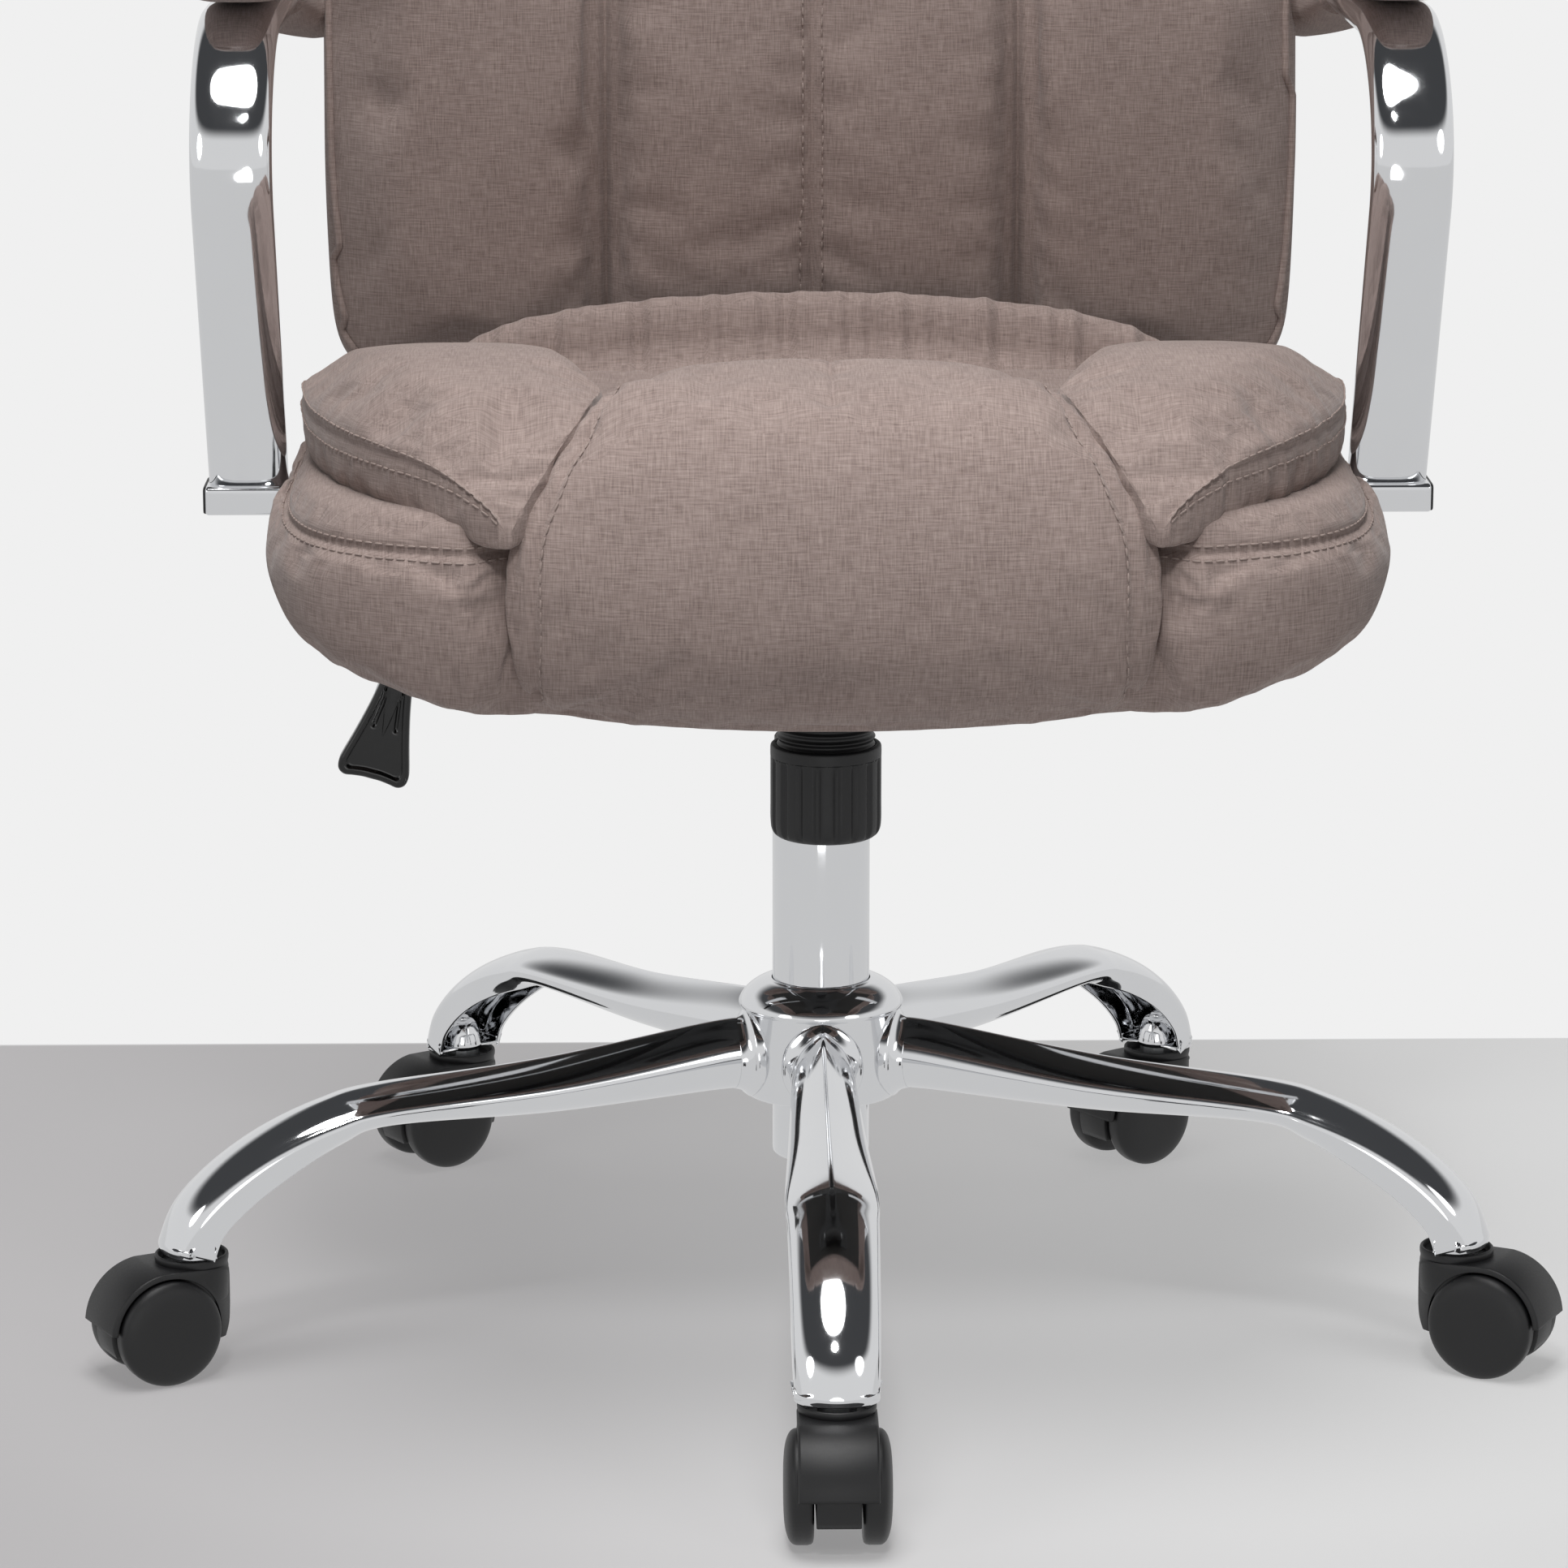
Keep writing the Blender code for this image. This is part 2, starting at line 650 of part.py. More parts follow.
def arm_stations():
    """Along an arm: the top line's (r, z), its direction, width, depth and opening."""
    waist = (STEM_CIRCLE_R - ARM_WAIST_IN, ARM_WAIST_TOP_Z)
    end = (STEM_CIRCLE_R + ARM_END_OUT, ARM_END_Z + ARM_END_STRAIGHT)
    run = [(ARM_ROOT_R, ARM_ROOT_TOP_Z), (COLLAR_END_R + GAP, ARM_ROOT_TOP_Z)]
    fall = (ARM_ROOT_TOP_Z - ARM_WAIST_TOP_Z) * ARM_DIP
    middle = ((COLLAR_END_R + waist[0]) / 2.0, ARM_ROOT_TOP_Z - fall)
    elbow = bezier((
        waist, (waist[0] + ARM_ELBOW_REACH, waist[1] - ARM_ELBOW_EASE),
        (end[0] - ARM_ELBOW_EASE, end[1] + ARM_ELBOW_RISE), end), ARM_ELBOW_POINTS)
    line = np.array(run + [middle] + elbow.tolist() + [(end[0], ARM_END_Z)])
    ahead = np.gradient(line, axis=0)
    ahead[:2] = (1.0, 0.0)
    ahead[-2:] = (0.0, -1.0)
    ahead /= np.linalg.norm(ahead, axis=1)[:, None]
    share = np.append(np.linspace(0.0, 1.0, len(elbow)), 1.0)
    width = np.concatenate((
        (ARM_ROOT_W, ARM_ROOT_W, (ARM_ROOT_W + ARM_WAIST_W) / 2.0),
        ARM_WAIST_W + (ARM_END_W - ARM_WAIST_W) * share))
    depth = np.concatenate((
        (ARM_ROOT_D, ARM_ROOT_D, (ARM_ROOT_D + ARM_WAIST_D) / 2.0),
        ARM_WAIST_D + (ARM_END_D - ARM_WAIST_D) * share))
    opening = np.concatenate((
        np.full(3, ARM_ROOT_OPENING), smooth_step(ARM_OPEN_START + ARM_OPEN_RATE * share)))
    return line, ahead, width, depth, opening


def arm_mesh():
    """One pressed arm as a sheet along +X, open below at its outer end."""
    line, ahead, width, depth, opening = arm_stations()
    s = np.linspace(1.0, -1.0, ARM_SKIN_POINTS)
    side, down = arm_section(width[:, None] / 2.0, depth[:, None], opening[:, None], s[None, :])
    inward = np.stack((ahead[:, 1], -ahead[:, 0]), axis=-1)
    r = line[:, :1] + inward[:, :1] * down
    z = line[:, 1:] + inward[:, 1:] * down
    return loft("base_arm", np.stack((r, side, z), axis=-1), closed=False)


def root_ring(grow, r):
    """The arm's root section, grown all round, at a distance from the axis."""
    s = np.linspace(-1.0, 1.0, ARM_SKIN_POINTS)
    side, down = arm_section(
        ARM_ROOT_W / 2.0 + grow, ARM_ROOT_D + 2.0 * grow, ARM_ROOT_OPENING, s)
    return np.stack((np.full_like(s, r), side, ARM_ROOT_TOP_Z + grow - down), axis=-1)


def root_prisms(name, near, far):
    """Solids between two rings, one for every arm."""
    work = bmesh.new()
    for turn in ARM_TURNS:
        single = loft(name, np.stack((near, far)), closed=True)
        single.transform(Matrix.Rotation(turn, 4, "Z"))
        work.from_mesh(single)
        bpy.data.meshes.remove(single)
    mesh = bpy.data.meshes.new(name)
    work.to_mesh(mesh)
    work.free()
    return mesh


def make_base():
    rim_r = HUB_R - EDGE
    rim_bottom = HUB_TOP_Z - HUB_RIM_H
    neck_r = HUB_R - HUB_NECK_IN
    shoulder_z = ARM_ROOT_TOP_Z + COLLAR_WALL
    profile = [
        (BORE_R, HUB_TOP_Z), (HUB_R - HUB_EDGE, HUB_TOP_Z), (rim_r, HUB_TOP_Z - 2.0 * EDGE),
        (rim_r, rim_bottom), (neck_r, rim_bottom - 2.0 * EDGE),
        (neck_r, shoulder_z + HUB_SHOULDER_H), (HUB_R, shoulder_z),
        (HUB_R, HUB_BOTTOM_Z + HUB_EDGE + EDGE), (HUB_R - HUB_EDGE, HUB_BOTTOM_Z),
        (BORE_R, HUB_BOTTOM_Z),
    ]
    hub = add_part("base_hub", turned("base_hub", profile, HUB_STEPS), CHROME)
    sockets = root_prisms(
        "arm_sockets", root_ring(COLLAR_WALL, neck_r),
        root_ring(COLLAR_WALL + COLLAR_FLARE, COLLAR_END_R))
    combine(hub, sockets, "UNION")
    pockets = root_prisms(
        "arm_pockets", root_ring(GAP, ARM_ROOT_R - GAP),
        root_ring(GAP, COLLAR_END_R + COLLAR_WALL))
    combine(hub, pockets, "DIFFERENCE")
    sheet = arm_mesh()
    socket = socket_mesh()
    for number, turn in enumerate(ARM_TURNS, 1):
        spin = Matrix.Rotation(turn, 4, "Z")
        arm = add_part(f"base_arm_{number}", sheet, CHROME, matrix=spin)
        skin = arm.modifiers.new("Sheet", "SOLIDIFY")
        skin.thickness = ARM_WALL
        skin.offset = -1.0
        skin.use_even_offset = True
        add_part(f"castor_socket_{number}", socket, CHROME, matrix=spin)


def socket_plate():
    """Plate that closes the arm's end, drilled for the bell."""
    inset = ARM_WALL + 1.5 * GAP
    s = np.linspace(-1.0, 1.0, ARM_SKIN_POINTS)
    s = s[(np.abs(s) < ARM_CROWN_SPAN + EDGE) | (np.abs(s) > 1.0 - EDGE)]
    side, down = arm_section(ARM_END_W / 2.0 - inset, ARM_END_D - inset, 1.0, s)
    outline = [(STEM_CIRCLE_R + ARM_END_OUT - inset - q, x) for x, q in zip(side, down)]
    slab = moved(
        flat("socket_plate", [outline], SOCKET_PLATE_H), at_height(ARM_END_Z + SOCKET_PLATE_H / 2.0))
    plate = add_tool("socket_plate_work", slab)
    drill = Matrix.Translation((STEM_CIRCLE_R, 0.0, ARM_END_Z))
    bore = hole(STEM_R, SMALL_STEPS) + GAP
    combine(plate, cylinder("stem_hole", bore, 4.0 * SOCKET_PLATE_H, SMALL_STEPS, drill), "DIFFERENCE")
    return bake_and_drop(plate)


def socket_mesh():
    """A bell over the castor's stem with a rivet head on top, on its plate."""
    bottom = ARM_END_Z - GAP
    bore = hole(STEM_R, SMALL_STEPS)
    roof = STEM_TOP_Z + GAP
    top = roof + SOCKET_ROOF
    profile = [
        (0.0, top + RIVET_H), (RIVET_R, top + RIVET_H / 2.0), (RIVET_R, top),
        (bore + EDGE, roof - EDGE), (SOCKET_R - EDGE, bottom + SOCKET_SKIRT_H),
        (SOCKET_R, bottom), (bore, bottom), (bore, roof), (0.0, roof),
    ]
    bell = turned("castor_socket", profile, SMALL_STEPS, closed=False)
    work = add_tool("castor_socket_work", moved(bell, at_side(STEM_CIRCLE_R)))
    combine(work, socket_plate(), "UNION")
    return bake_and_drop(work)


# Castors

def across_axle(y):
    """A cylinder's matrix on the wheels' axis, at a distance from the web's middle."""
    return Matrix.Translation((TRAIL, y, WHEEL_R)) @ Matrix.Rotation(math.pi / 2.0, 4, "X")


def hood_mesh():
    """Hood round the stem: collar, skin over both wheels and a web between them."""
    well_r = WHEEL_R + RUN
    axle = (TRAIL, WHEEL_R)
    front_x = HOOD_COLLAR_TAPER - HOOD_COLLAR_R
    brow_z = HOOD_TOP_Z - HOOD_BROW
    outline = [
        (front_x + 2.0 * EDGE, WHEEL_R - 2.0 * EDGE), (front_x, brow_z), (0.0, brow_z),
        (TRAIL / 2.0, HOOD_TOP_Z - 2.0 * EDGE),
    ]
    outline += arc(axle, well_r + HOOD_SKIN, HOOD_CREST_DEG, HOOD_TAIL_DEG, 7)
    lip_deg = HOOD_TAIL_DEG - HOOD_TAIL_LIP_DEG
    outline += arc(axle, well_r + GAP, lip_deg, lip_deg, 1)
    outline += [(TRAIL + WEB_FOOT_HALF, WEB_BOTTOM_Z), (TRAIL - WEB_FOOT_HALF, WEB_BOTTOM_Z)]
    slab = flat("hood", [outline[::-1]], WEB_W + 2.0 * (RUN + WHEEL_W))
    hood = add_tool("hood_work", moved(slab, front_to_world()))
    rounded(hood, HOOD_ROUND, 1)
    neck_z = WHEEL_R + HOOD_BROW
    collar = [
        (0.0, HOOD_TOP_Z), (HOOD_COLLAR_R - HOOD_COLLAR_TAPER, HOOD_TOP_Z),
        (HOOD_COLLAR_R, HOOD_TOP_Z - 1.5 * EDGE), (HOOD_COLLAR_R - EDGE, brow_z - HOOD_BROW),
        (HOOD_COLLAR_R - HOOD_COLLAR_TAPER, neck_z), (0.0, neck_z),
    ]
    combine(hood, turned("hood_collar", collar, SHAFT_STEPS, closed=False), "UNION")
    for way in (-1.0, 1.0):
        well = cylinder(
            "wheel_well", well_r, 2.0 * WHEEL_W, WHEEL_STEPS, across_axle(way * (WEB_W / 2.0 + WHEEL_W)))
        combine(hood, well, "DIFFERENCE")
    bore = hole(AXLE_R, SMALL_STEPS)
    combine(hood, cylinder("axle_hole", bore, 2.0 * WEB_W, SMALL_STEPS, across_axle(0.0)), "DIFFERENCE")
    depth = 2.0 * (HOOD_TOP_Z - STEM_SEAT_Z)
    drill = at_height(STEM_SEAT_Z + depth / 2.0)
    bore = hole(STEM_R, STEM_STEPS)
    combine(hood, cylinder("stem_hole", bore, depth, STEM_STEPS, drill), "DIFFERENCE")
    return bake_and_drop(hood)


def wheel_mesh():
    """A solid disc wheel about Z, its outer face up and its axle hole blind."""
    bore = hole(AXLE_R, WHEEL_STEPS)
    face = WHEEL_W - WHEEL_DISH
    rim = WHEEL_R - WHEEL_RIM
    blind = WHEEL_W - WHEEL_FACE_WALL
    profile = [
        (0.0, face), (rim - WHEEL_BEVEL, face), (rim, WHEEL_W), (WHEEL_R, WHEEL_W - WHEEL_RIM),
        (WHEEL_R, 0.0), (bore, 0.0), (bore, blind), (0.0, blind),
    ]
    return turned("castor_wheel", profile, WHEEL_STEPS, closed=False)


def stem_mesh():
    """Grip stem with the flange that carries the socket."""
    flange_bottom = HOOD_TOP_Z + GAP
    flange_top = flange_bottom + STEM_FLANGE_H
    foot = STEM_SEAT_Z + GAP
    profile = [
        (0.0, STEM_TOP_Z), (STEM_R, STEM_TOP_Z - 1.5 * EDGE), (STEM_R, flange_top),
        (STEM_FLANGE_R, flange_top), (STEM_FLANGE_R, flange_bottom), (STEM_R, flange_bottom),
        (STEM_R, foot), (0.0, foot),
    ]
    return turned("castor_stem", profile, STEM_STEPS, closed=False)


def make_castors():
    hood, wheel, stem = hood_mesh(), wheel_mesh(), stem_mesh()
    axle_l = WEB_W + 2.0 * (WHEEL_W - WHEEL_FACE_WALL)
    lying = Matrix.Rotation(math.pi / 2.0, 4, "X")
    axle = cylinder("castor_axle", AXLE_R, axle_l, SMALL_STEPS, lying)
    for number, (turn, trail_deg) in enumerate(zip(ARM_TURNS, CASTOR_TRAIL_DEG), 1):
        stem_place = Vector((STEM_CIRCLE_R * math.cos(turn), STEM_CIRCLE_R * math.sin(turn), 0.0))
        swivel = add_empty(f"castor_swivel_{number}", stem_place, math.radians(trail_deg))
        world = swivel.matrix_world
        add_part(f"castor_hood_{number}", hood, BLACK_PLASTIC, swivel, world)
        add_part(f"castor_stem_{number}", stem, STEEL, swivel, world)
        middle = world @ Matrix.Translation((TRAIL, 0.0, WHEEL_R))
        add_part(f"castor_axle_{number}", axle, STEEL, swivel, middle)
        for side, way in (("left", 1.0), ("right", -1.0)):
            out = Matrix.Translation((0.0, way * (WEB_W / 2.0 + RUN), 0.0))
            place = middle @ out @ Matrix.Rotation(-way * math.pi / 2.0, 4, "X")
            add_part(f"castor_wheel_{number}_{side}", wheel, BLACK_PLASTIC, swivel, place)


# Gas lift

def make_column():
    """Fixed tube in the hub, with the bush that guides the cylinder."""
    inner_r = TUBE_R - TUBE_WALL
    rod_hole = hole(ROD_R, BUSH_STEPS)
    floor_top = TUBE_BOTTOM_Z + TUBE_FLOOR
    tube = [
        (inner_r, TUBE_TOP_Z), (TUBE_R - EDGE, TUBE_TOP_Z), (TUBE_R, TUBE_TOP_Z - EDGE),
        (TUBE_R, TUBE_BOTTOM_Z), (rod_hole, TUBE_BOTTOM_Z), (rod_hole, floor_top),
        (inner_r, floor_top),
    ]
    add_part("column_tube", turned("column_tube", tube, TUBE_STEPS), CHROME)
    bore = hole(CYLINDER_R, LIFT_STEPS)
    outer = inner_r - GAP
    lip_bottom = TUBE_TOP_Z + GAP
    lip_top = lip_bottom + BUSH_LIP_H
    foot = TUBE_TOP_Z - BUSH_L
    bush = [
        (bore, lip_top), (TUBE_R - EDGE, lip_top), (TUBE_R - EDGE, lip_bottom),
        (outer, lip_bottom), (outer, foot), (bore, foot),
    ]
    add_part("column_bush", turned("column_bush", bush, LIFT_STEPS), BLACK_PLASTIC)


def make_lift_rod():
    """Piston rod that hangs the lift on a thrust bearing, free to turn."""
    axis = add_empty("seat_swivel", (0.0, 0.0, 0.0))
    low = TUBE_BOTTOM_Z + TUBE_FLOOR + GAP
    high = low + BEARING_H
    rod_hole = hole(ROD_R, BUSH_STEPS)
    groove_r = BEARING_R - BEARING_GROOVE
    race = BEARING_RACE_H
    ring = [
        (rod_hole, high), (BEARING_R, high), (BEARING_R, high - race),
        (groove_r, high - 1.5 * race), (groove_r, low + 1.5 * race), (BEARING_R, low + race),
        (BEARING_R, low), (rod_hole, low),
    ]
    add_part("thrust_bearing", turned("thrust_bearing", ring, BUSH_STEPS), STEEL, axis)
    piston_r = CYLINDER_R - CYLINDER_WALL - GAP
    piston_bottom = CYLINDER_BOTTOM_Z + CYLINDER_FOOT + LIFT_STROKE + PISTON_OVERRUN
    piston_top = piston_bottom + PISTON_H
    shoulder = high + GAP
    shoulder_top = shoulder + ROD_SHOULDER_H
    tail = TUBE_BOTTOM_Z - ROD_TAIL
    rod = [
        (0.0, piston_top), (piston_r, piston_top), (piston_r, piston_bottom),
        (ROD_R, piston_bottom), (ROD_R, shoulder_top), (ROD_SHOULDER_R, shoulder_top),
        (ROD_SHOULDER_R, shoulder), (ROD_R, shoulder), (ROD_R, tail), (0.0, tail),
    ]
    add_part("piston_rod", turned("piston_rod", rod, SHAFT_STEPS, closed=False), STEEL, axis)


def make_cylinder():
    """Gas cylinder that carries the seat, with the pin that lets it move."""
    bore = CYLINDER_R - CYLINDER_WALL
    rod_hole = hole(ROD_R, BUSH_STEPS)
    foot_top = CYLINDER_BOTTOM_Z + CYLINDER_FOOT
    pin_hole = hole(PIN_R, LIFT_STEPS)
    pin_bottom = PIN_TOP_Z - PIN_L
    pin_floor = pin_bottom - PIN_TRAVEL - GAP
    bore_top = CYLINDER_TOP_Z - CYLINDER_HEAD
    side = [
        (0.0, pin_floor), (pin_hole, pin_floor), (pin_hole, CYLINDER_TOP_Z),
        (CYLINDER_R - TAPER_IN, CYLINDER_TOP_Z), (CYLINDER_R, CYLINDER_TOP_Z - TAPER_L),
        (CYLINDER_R, CYLINDER_BOTTOM_Z), (rod_hole, CYLINDER_BOTTOM_Z), (rod_hole, foot_top),
        (bore, foot_top), (bore, bore_top), (0.0, bore_top),
    ]
    body = turned("gas_cylinder", side, LIFT_STEPS, closed=False)
    add_part("gas_cylinder", body, STEEL, LIFT_AXIS)
    pin = [
        (0.0, PIN_TOP_Z), (PIN_R - EDGE, PIN_TOP_Z), (PIN_R, PIN_TOP_Z - EDGE),
        (PIN_R, pin_bottom), (0.0, pin_bottom),
    ]
    add_part("release_pin", turned("release_pin", pin, STEM_STEPS, closed=False), STEEL, LIFT_AXIS)


# Tilt mechanism

def tilted_plate_z(y):
    """Height of the plate's underside over y when the seat is fully tilted."""
    lean = math.radians(TILT_MAX_DEG)
    return PIVOT_Z + PIVOT_DROP / math.cos(lean) - (y - PIVOT_Y) * math.tan(lean)


def housing_tray():
    """Pressed tray, its rear top cut to clear the plate at full tilt."""
    front = PIVOT_Y - HOUSING_FRONT
    rear = HOUSING_REAR_Y
    ceiling = PLATE_Z - HOUSING_HEADROOM
    rear_top = tilted_plate_z(rear) - HOUSING_HEADROOM
    bend_y = rear - (ceiling - rear_top) / math.tan(math.radians(TILT_MAX_DEG))
    floor = HOUSING_FLOOR_Z
    nose_z = PIVOT_Z - HOUSING_NOSE_DROP
    outer = [
        (front, nose_z), (front + HOUSING_NOSE, floor), (rear - HOUSING_HEEL, floor),
        (rear, floor + HOUSING_HEEL), (rear, rear_top), (bend_y, ceiling), (front, ceiling),
    ]
    wall = HOUSING_WALL
    floor_top = floor + HOUSING_FLOOR
    over = ceiling + SEAT_BOSS_DROP
    inner = [
        (front + wall, nose_z + EDGE), (front + HOUSING_NOSE + EDGE, floor_top),
        (rear - HOUSING_HEEL - EDGE, floor_top), (rear - wall, floor_top + HOUSING_HEEL - EDGE),
        (rear - wall, over), (front + wall, over),
    ]
    slab = moved(flat("housing", [outer], 2.0 * HOUSING_HALF_W), side_to_world())
    tray = add_part("mechanism_housing", slab, DARK_STEEL, LIFT_AXIS)
    hollow = flat("tray", [inner], 2.0 * (HOUSING_HALF_W - wall))
    combine(tray, moved(hollow, side_to_world()), "DIFFERENCE")
    return tray


def make_housing():
    """Tray with the gas lift's boss, the lever's boss and holes for what it carries."""
    tray = housing_tray()
    bottom = SEAT_BOSS_BOTTOM_Z
    height = CYLINDER_TOP_Z - HOUSING_FLOOR - bottom
    boss_r = CYLINDER_R + SEAT_BOSS_WALL
    boss = cylinder("lift_boss", boss_r, height, BOSS_STEPS, at_height(bottom + height / 2.0))
    combine(tray, boss, "UNION")
    lever_hole = hole(LEVER_BUSH_R, BUSH_STEPS)
    lever_at = along_x((FULCRUM_X, 0.0, FULCRUM_Z))
    boss_r = lever_hole + LEVER_BOSS_WALL
    combine(tray, cylinder("lever_boss", boss_r, LEVER_BOSS_L, BUSH_STEPS, lever_at), "UNION")
    top_r = CYLINDER_R - TAPER_IN + GAP
    bottom_r = CYLINDER_R + GAP
    over, under = CYLINDER_TOP_Z + SEAT_BOSS_DROP, bottom - SEAT_BOSS_DROP
    taper = [
        (0.0, over), (top_r, over), (top_r, CYLINDER_TOP_Z), (bottom_r, CYLINDER_TOP_Z - TAPER_L),
        (bottom_r, under), (0.0, under),
    ]
    combine(tray, turned("taper_bore", taper, LIFT_STEPS, closed=False), "DIFFERENCE")
    spring_at = Matrix.Translation((0.0, SPRING_Y, HOUSING_FLOOR_Z))
    spring_cut = cylinder("spring_hole", SLEEVE_IN_R, 4.0 * HOUSING_FLOOR, BOSS_STEPS, spring_at)
    combine(tray, spring_cut, "DIFFERENCE")
    bush_cut = cylinder("lever_hole", lever_hole, 2.0 * LEVER_BOSS_L, BUSH_STEPS, lever_at)
    combine(tray, bush_cut, "DIFFERENCE")
    combine(tray, pivot_drill(), "DIFFERENCE")


def pivot_drill():
    """Cutter for the pivot shaft's holes, through the housing and both ears."""
    place = along_x((0.0, PIVOT_Y, PIVOT_Z))
    return cylinder("pivot_hole", hole(PIVOT_R, SHAFT_STEPS), 3.0 * HOUSING_HALF_W, SHAFT_STEPS, place)


def ear_mesh(inner_x, outer_x):
    """A tab that hangs from the plate and takes the pivot shaft."""
    top = PLATE_Z + PLATE_T / 2.0
    outline = arc((PIVOT_Y, PIVOT_Z), EAR_R, 180.0, 360.0, 7)
    outline += [(PIVOT_Y + EAR_R + EAR_SPREAD, top), (PIVOT_Y - EAR_R, top)]
    slab = moved(flat("ear", [outline], outer_x - inner_x), side_to_world())
    return moved(slab, at_side((inner_x + outer_x) / 2.0))


def plate_slot(x, y):
    """Outline of one bolt slot, long along Y."""
    half = PLATE_SLOT_L / 2.0 - PLATE_SLOT_R
    rear = arc((x, y + half), PLATE_SLOT_R, 0.0, 180.0, 4)
    return rear + arc((x, y - half), PLATE_SLOT_R, 180.0, 360.0, 4)


def make_tilt_plate():
    """Butterfly plate under the seat board, with slots for its bolts."""
    front, rear = PIVOT_Y - PLATE_FRONT, PLATE_REAR_Y
    wide, waist = PLATE_HALF_W, PLATE_WAIST_HALF_W
    tab, corner = PLATE_TAB_L, PLATE_CORNER
    slope_end = tab + PLATE_TAB_SLOPE
    outline = [
        (wide - corner, front), (wide, front + corner), (wide, front + tab),
        (waist, front + slope_end), (waist, rear - slope_end), (wide, rear - tab),
        (wide, rear - corner), (wide - corner, rear),
    ]
    outline += [(-x, y) for x, y in reversed(outline)]
    slots = [
        plate_slot(way * (wide - PLATE_SLOT_IN), y)
        for y in (front + tab / 2.0, rear - tab / 2.0) for way in (-1.0, 1.0)
    ]
    slab = moved(flat("tilt_plate", [outline] + slots, PLATE_T), at_height(PLATE_Z + PLATE_T / 2.0))
    plate = add_part("tilt_plate", slab, DARK_STEEL, TILT_AXIS)
    ear_in = HOUSING_HALF_W + 2.0 * GAP
    ear_out = ear_in + EAR_T
    combine(plate, ear_mesh(ear_in, ear_out), "UNION")
    combine(plate, ear_mesh(-ear_out, -ear_in), "UNION")
    peg_r = SPRING_R * math.cos(math.pi / SPRING_POINTS) - SPRING_WIRE_R - RUN
    peg_top = PLATE_Z + PLATE_T / 2.0
    peg_l = SPRING_PEG_H + PLATE_T / 2.0
    peg_at = Matrix.Translation((0.0, SPRING_Y, peg_top - peg_l / 2.0))
    combine(plate, cylinder("spring_peg", peg_r, peg_l, SHAFT_STEPS, peg_at), "UNION")
    combine(plate, pivot_drill(), "DIFFERENCE")
    make_pivot_shaft(ear_out + GAP)


def make_pivot_shaft(head_in):
    """Headed shaft across the housing; head_in is half the grip."""
    head_out = head_in + PIVOT_HEAD_H
    rim_r = PIVOT_HEAD_R - EDGE
    half = [
        (0.0, head_out), (rim_r, head_out), (PIVOT_HEAD_R, head_out - EDGE),
        (PIVOT_HEAD_R, head_in), (PIVOT_R, head_in),
    ]
    profile = half + [(r, -z) for r, z in reversed(half)]
    shaft = turned("tilt_pivot_shaft", profile, SHAFT_STEPS, closed=False)
    add_part("tilt_pivot_shaft", shaft, STEEL, LIFT_AXIS, along_x((0.0, PIVOT_Y, PIVOT_Z)))


def make_sleeve(at):
    """Threaded sleeve that hangs from the housing's floor round the spring."""
    top = HOUSING_FLOOR_Z - GAP
    flange_r = SLEEVE_R + SLEEVE_FLANGE
    flange = top - SLEEVE_FLANGE_H
    foot = top - SLEEVE_L
    profile = [
        (SLEEVE_IN_R, top), (flange_r, top), (flange_r, flange), (SLEEVE_R, flange - EDGE),
        (SLEEVE_R, foot + EDGE), (SLEEVE_R - EDGE, foot), (SLEEVE_IN_R, foot),
    ]
    sleeve = turned("spring_sleeve", profile, SLEEVE_STEPS)
    add_part("spring_sleeve", sleeve, BLACK_PLASTIC, LIFT_AXIS, at)


def knob_flutes():
    """Cutters for the flutes round the knob."""
    length = KNOB_H - KNOB_FLUTE_TOP
    work = bmesh.new()
    for i in range(KNOB_FLUTES):
        turn = Matrix.Rotation(TWO_PI * i / KNOB_FLUTES, 4, "Z")
        middle = (KNOB_R + KNOB_FLUTE_OUT, 0.0, KNOB_BOTTOM_Z + length / 2.0 - EDGE)
        bmesh.ops.create_cone(
            work, cap_ends=True, segments=6, radius1=KNOB_FLUTE_R, radius2=KNOB_FLUTE_R,
            depth=length, matrix=turn @ Matrix.Translation(middle))
    mesh = bpy.data.meshes.new("knob_flutes")
    work.to_mesh(mesh)
    work.free()
    return mesh


def make_knob_and_cup(at):
    """Knob on the sleeve and the steel cup that lifts the spring; gives the cup's top."""
    axis = add_empty("tension_axis", (0.0, SPRING_Y, KNOB_BOTTOM_Z))
    bore = hole(SLEEVE_R, KNOB_FLUTES)
    foot, floor = KNOB_BOTTOM_Z, KNOB_BOTTOM_Z + KNOB_FLOOR
    profile = [
        (bore, KNOB_TOP_Z), (KNOB_R - EDGE, KNOB_TOP_Z), (KNOB_R, KNOB_TOP_Z - 1.5 * EDGE),
        (KNOB_R, foot + KNOB_ROUND), (KNOB_R - 1.6 * EDGE, foot + KNOB_ROUND / 3.0),
        (KNOB_R - KNOB_ROUND_IN, foot + EDGE / 2.0), (0.0, foot), (0.0, floor), (bore, floor),
    ]
    knob = add_part(
        "tension_knob", turned("tension_knob", profile, KNOB_FLUTES), BLACK_PLASTIC, axis, at)
    combine(knob, moved(knob_flutes(), at), "DIFFERENCE")
    low = floor + GAP
    top = low + CUP_H
    boss_top = top + CUP_BOSS_H
    cup_r = bore - RUN
    profile = [
        (0.0, boss_top), (CUP_BOSS_R - EDGE, boss_top), (CUP_BOSS_R, boss_top - EDGE),
        (CUP_BOSS_R, top), (cup_r, top), (cup_r, low), (0.0, low),
    ]
    cup = turned("spring_cup", profile, WHEEL_STEPS, closed=False)
    add_part("spring_cup", cup, STEEL, axis, at)
    return top


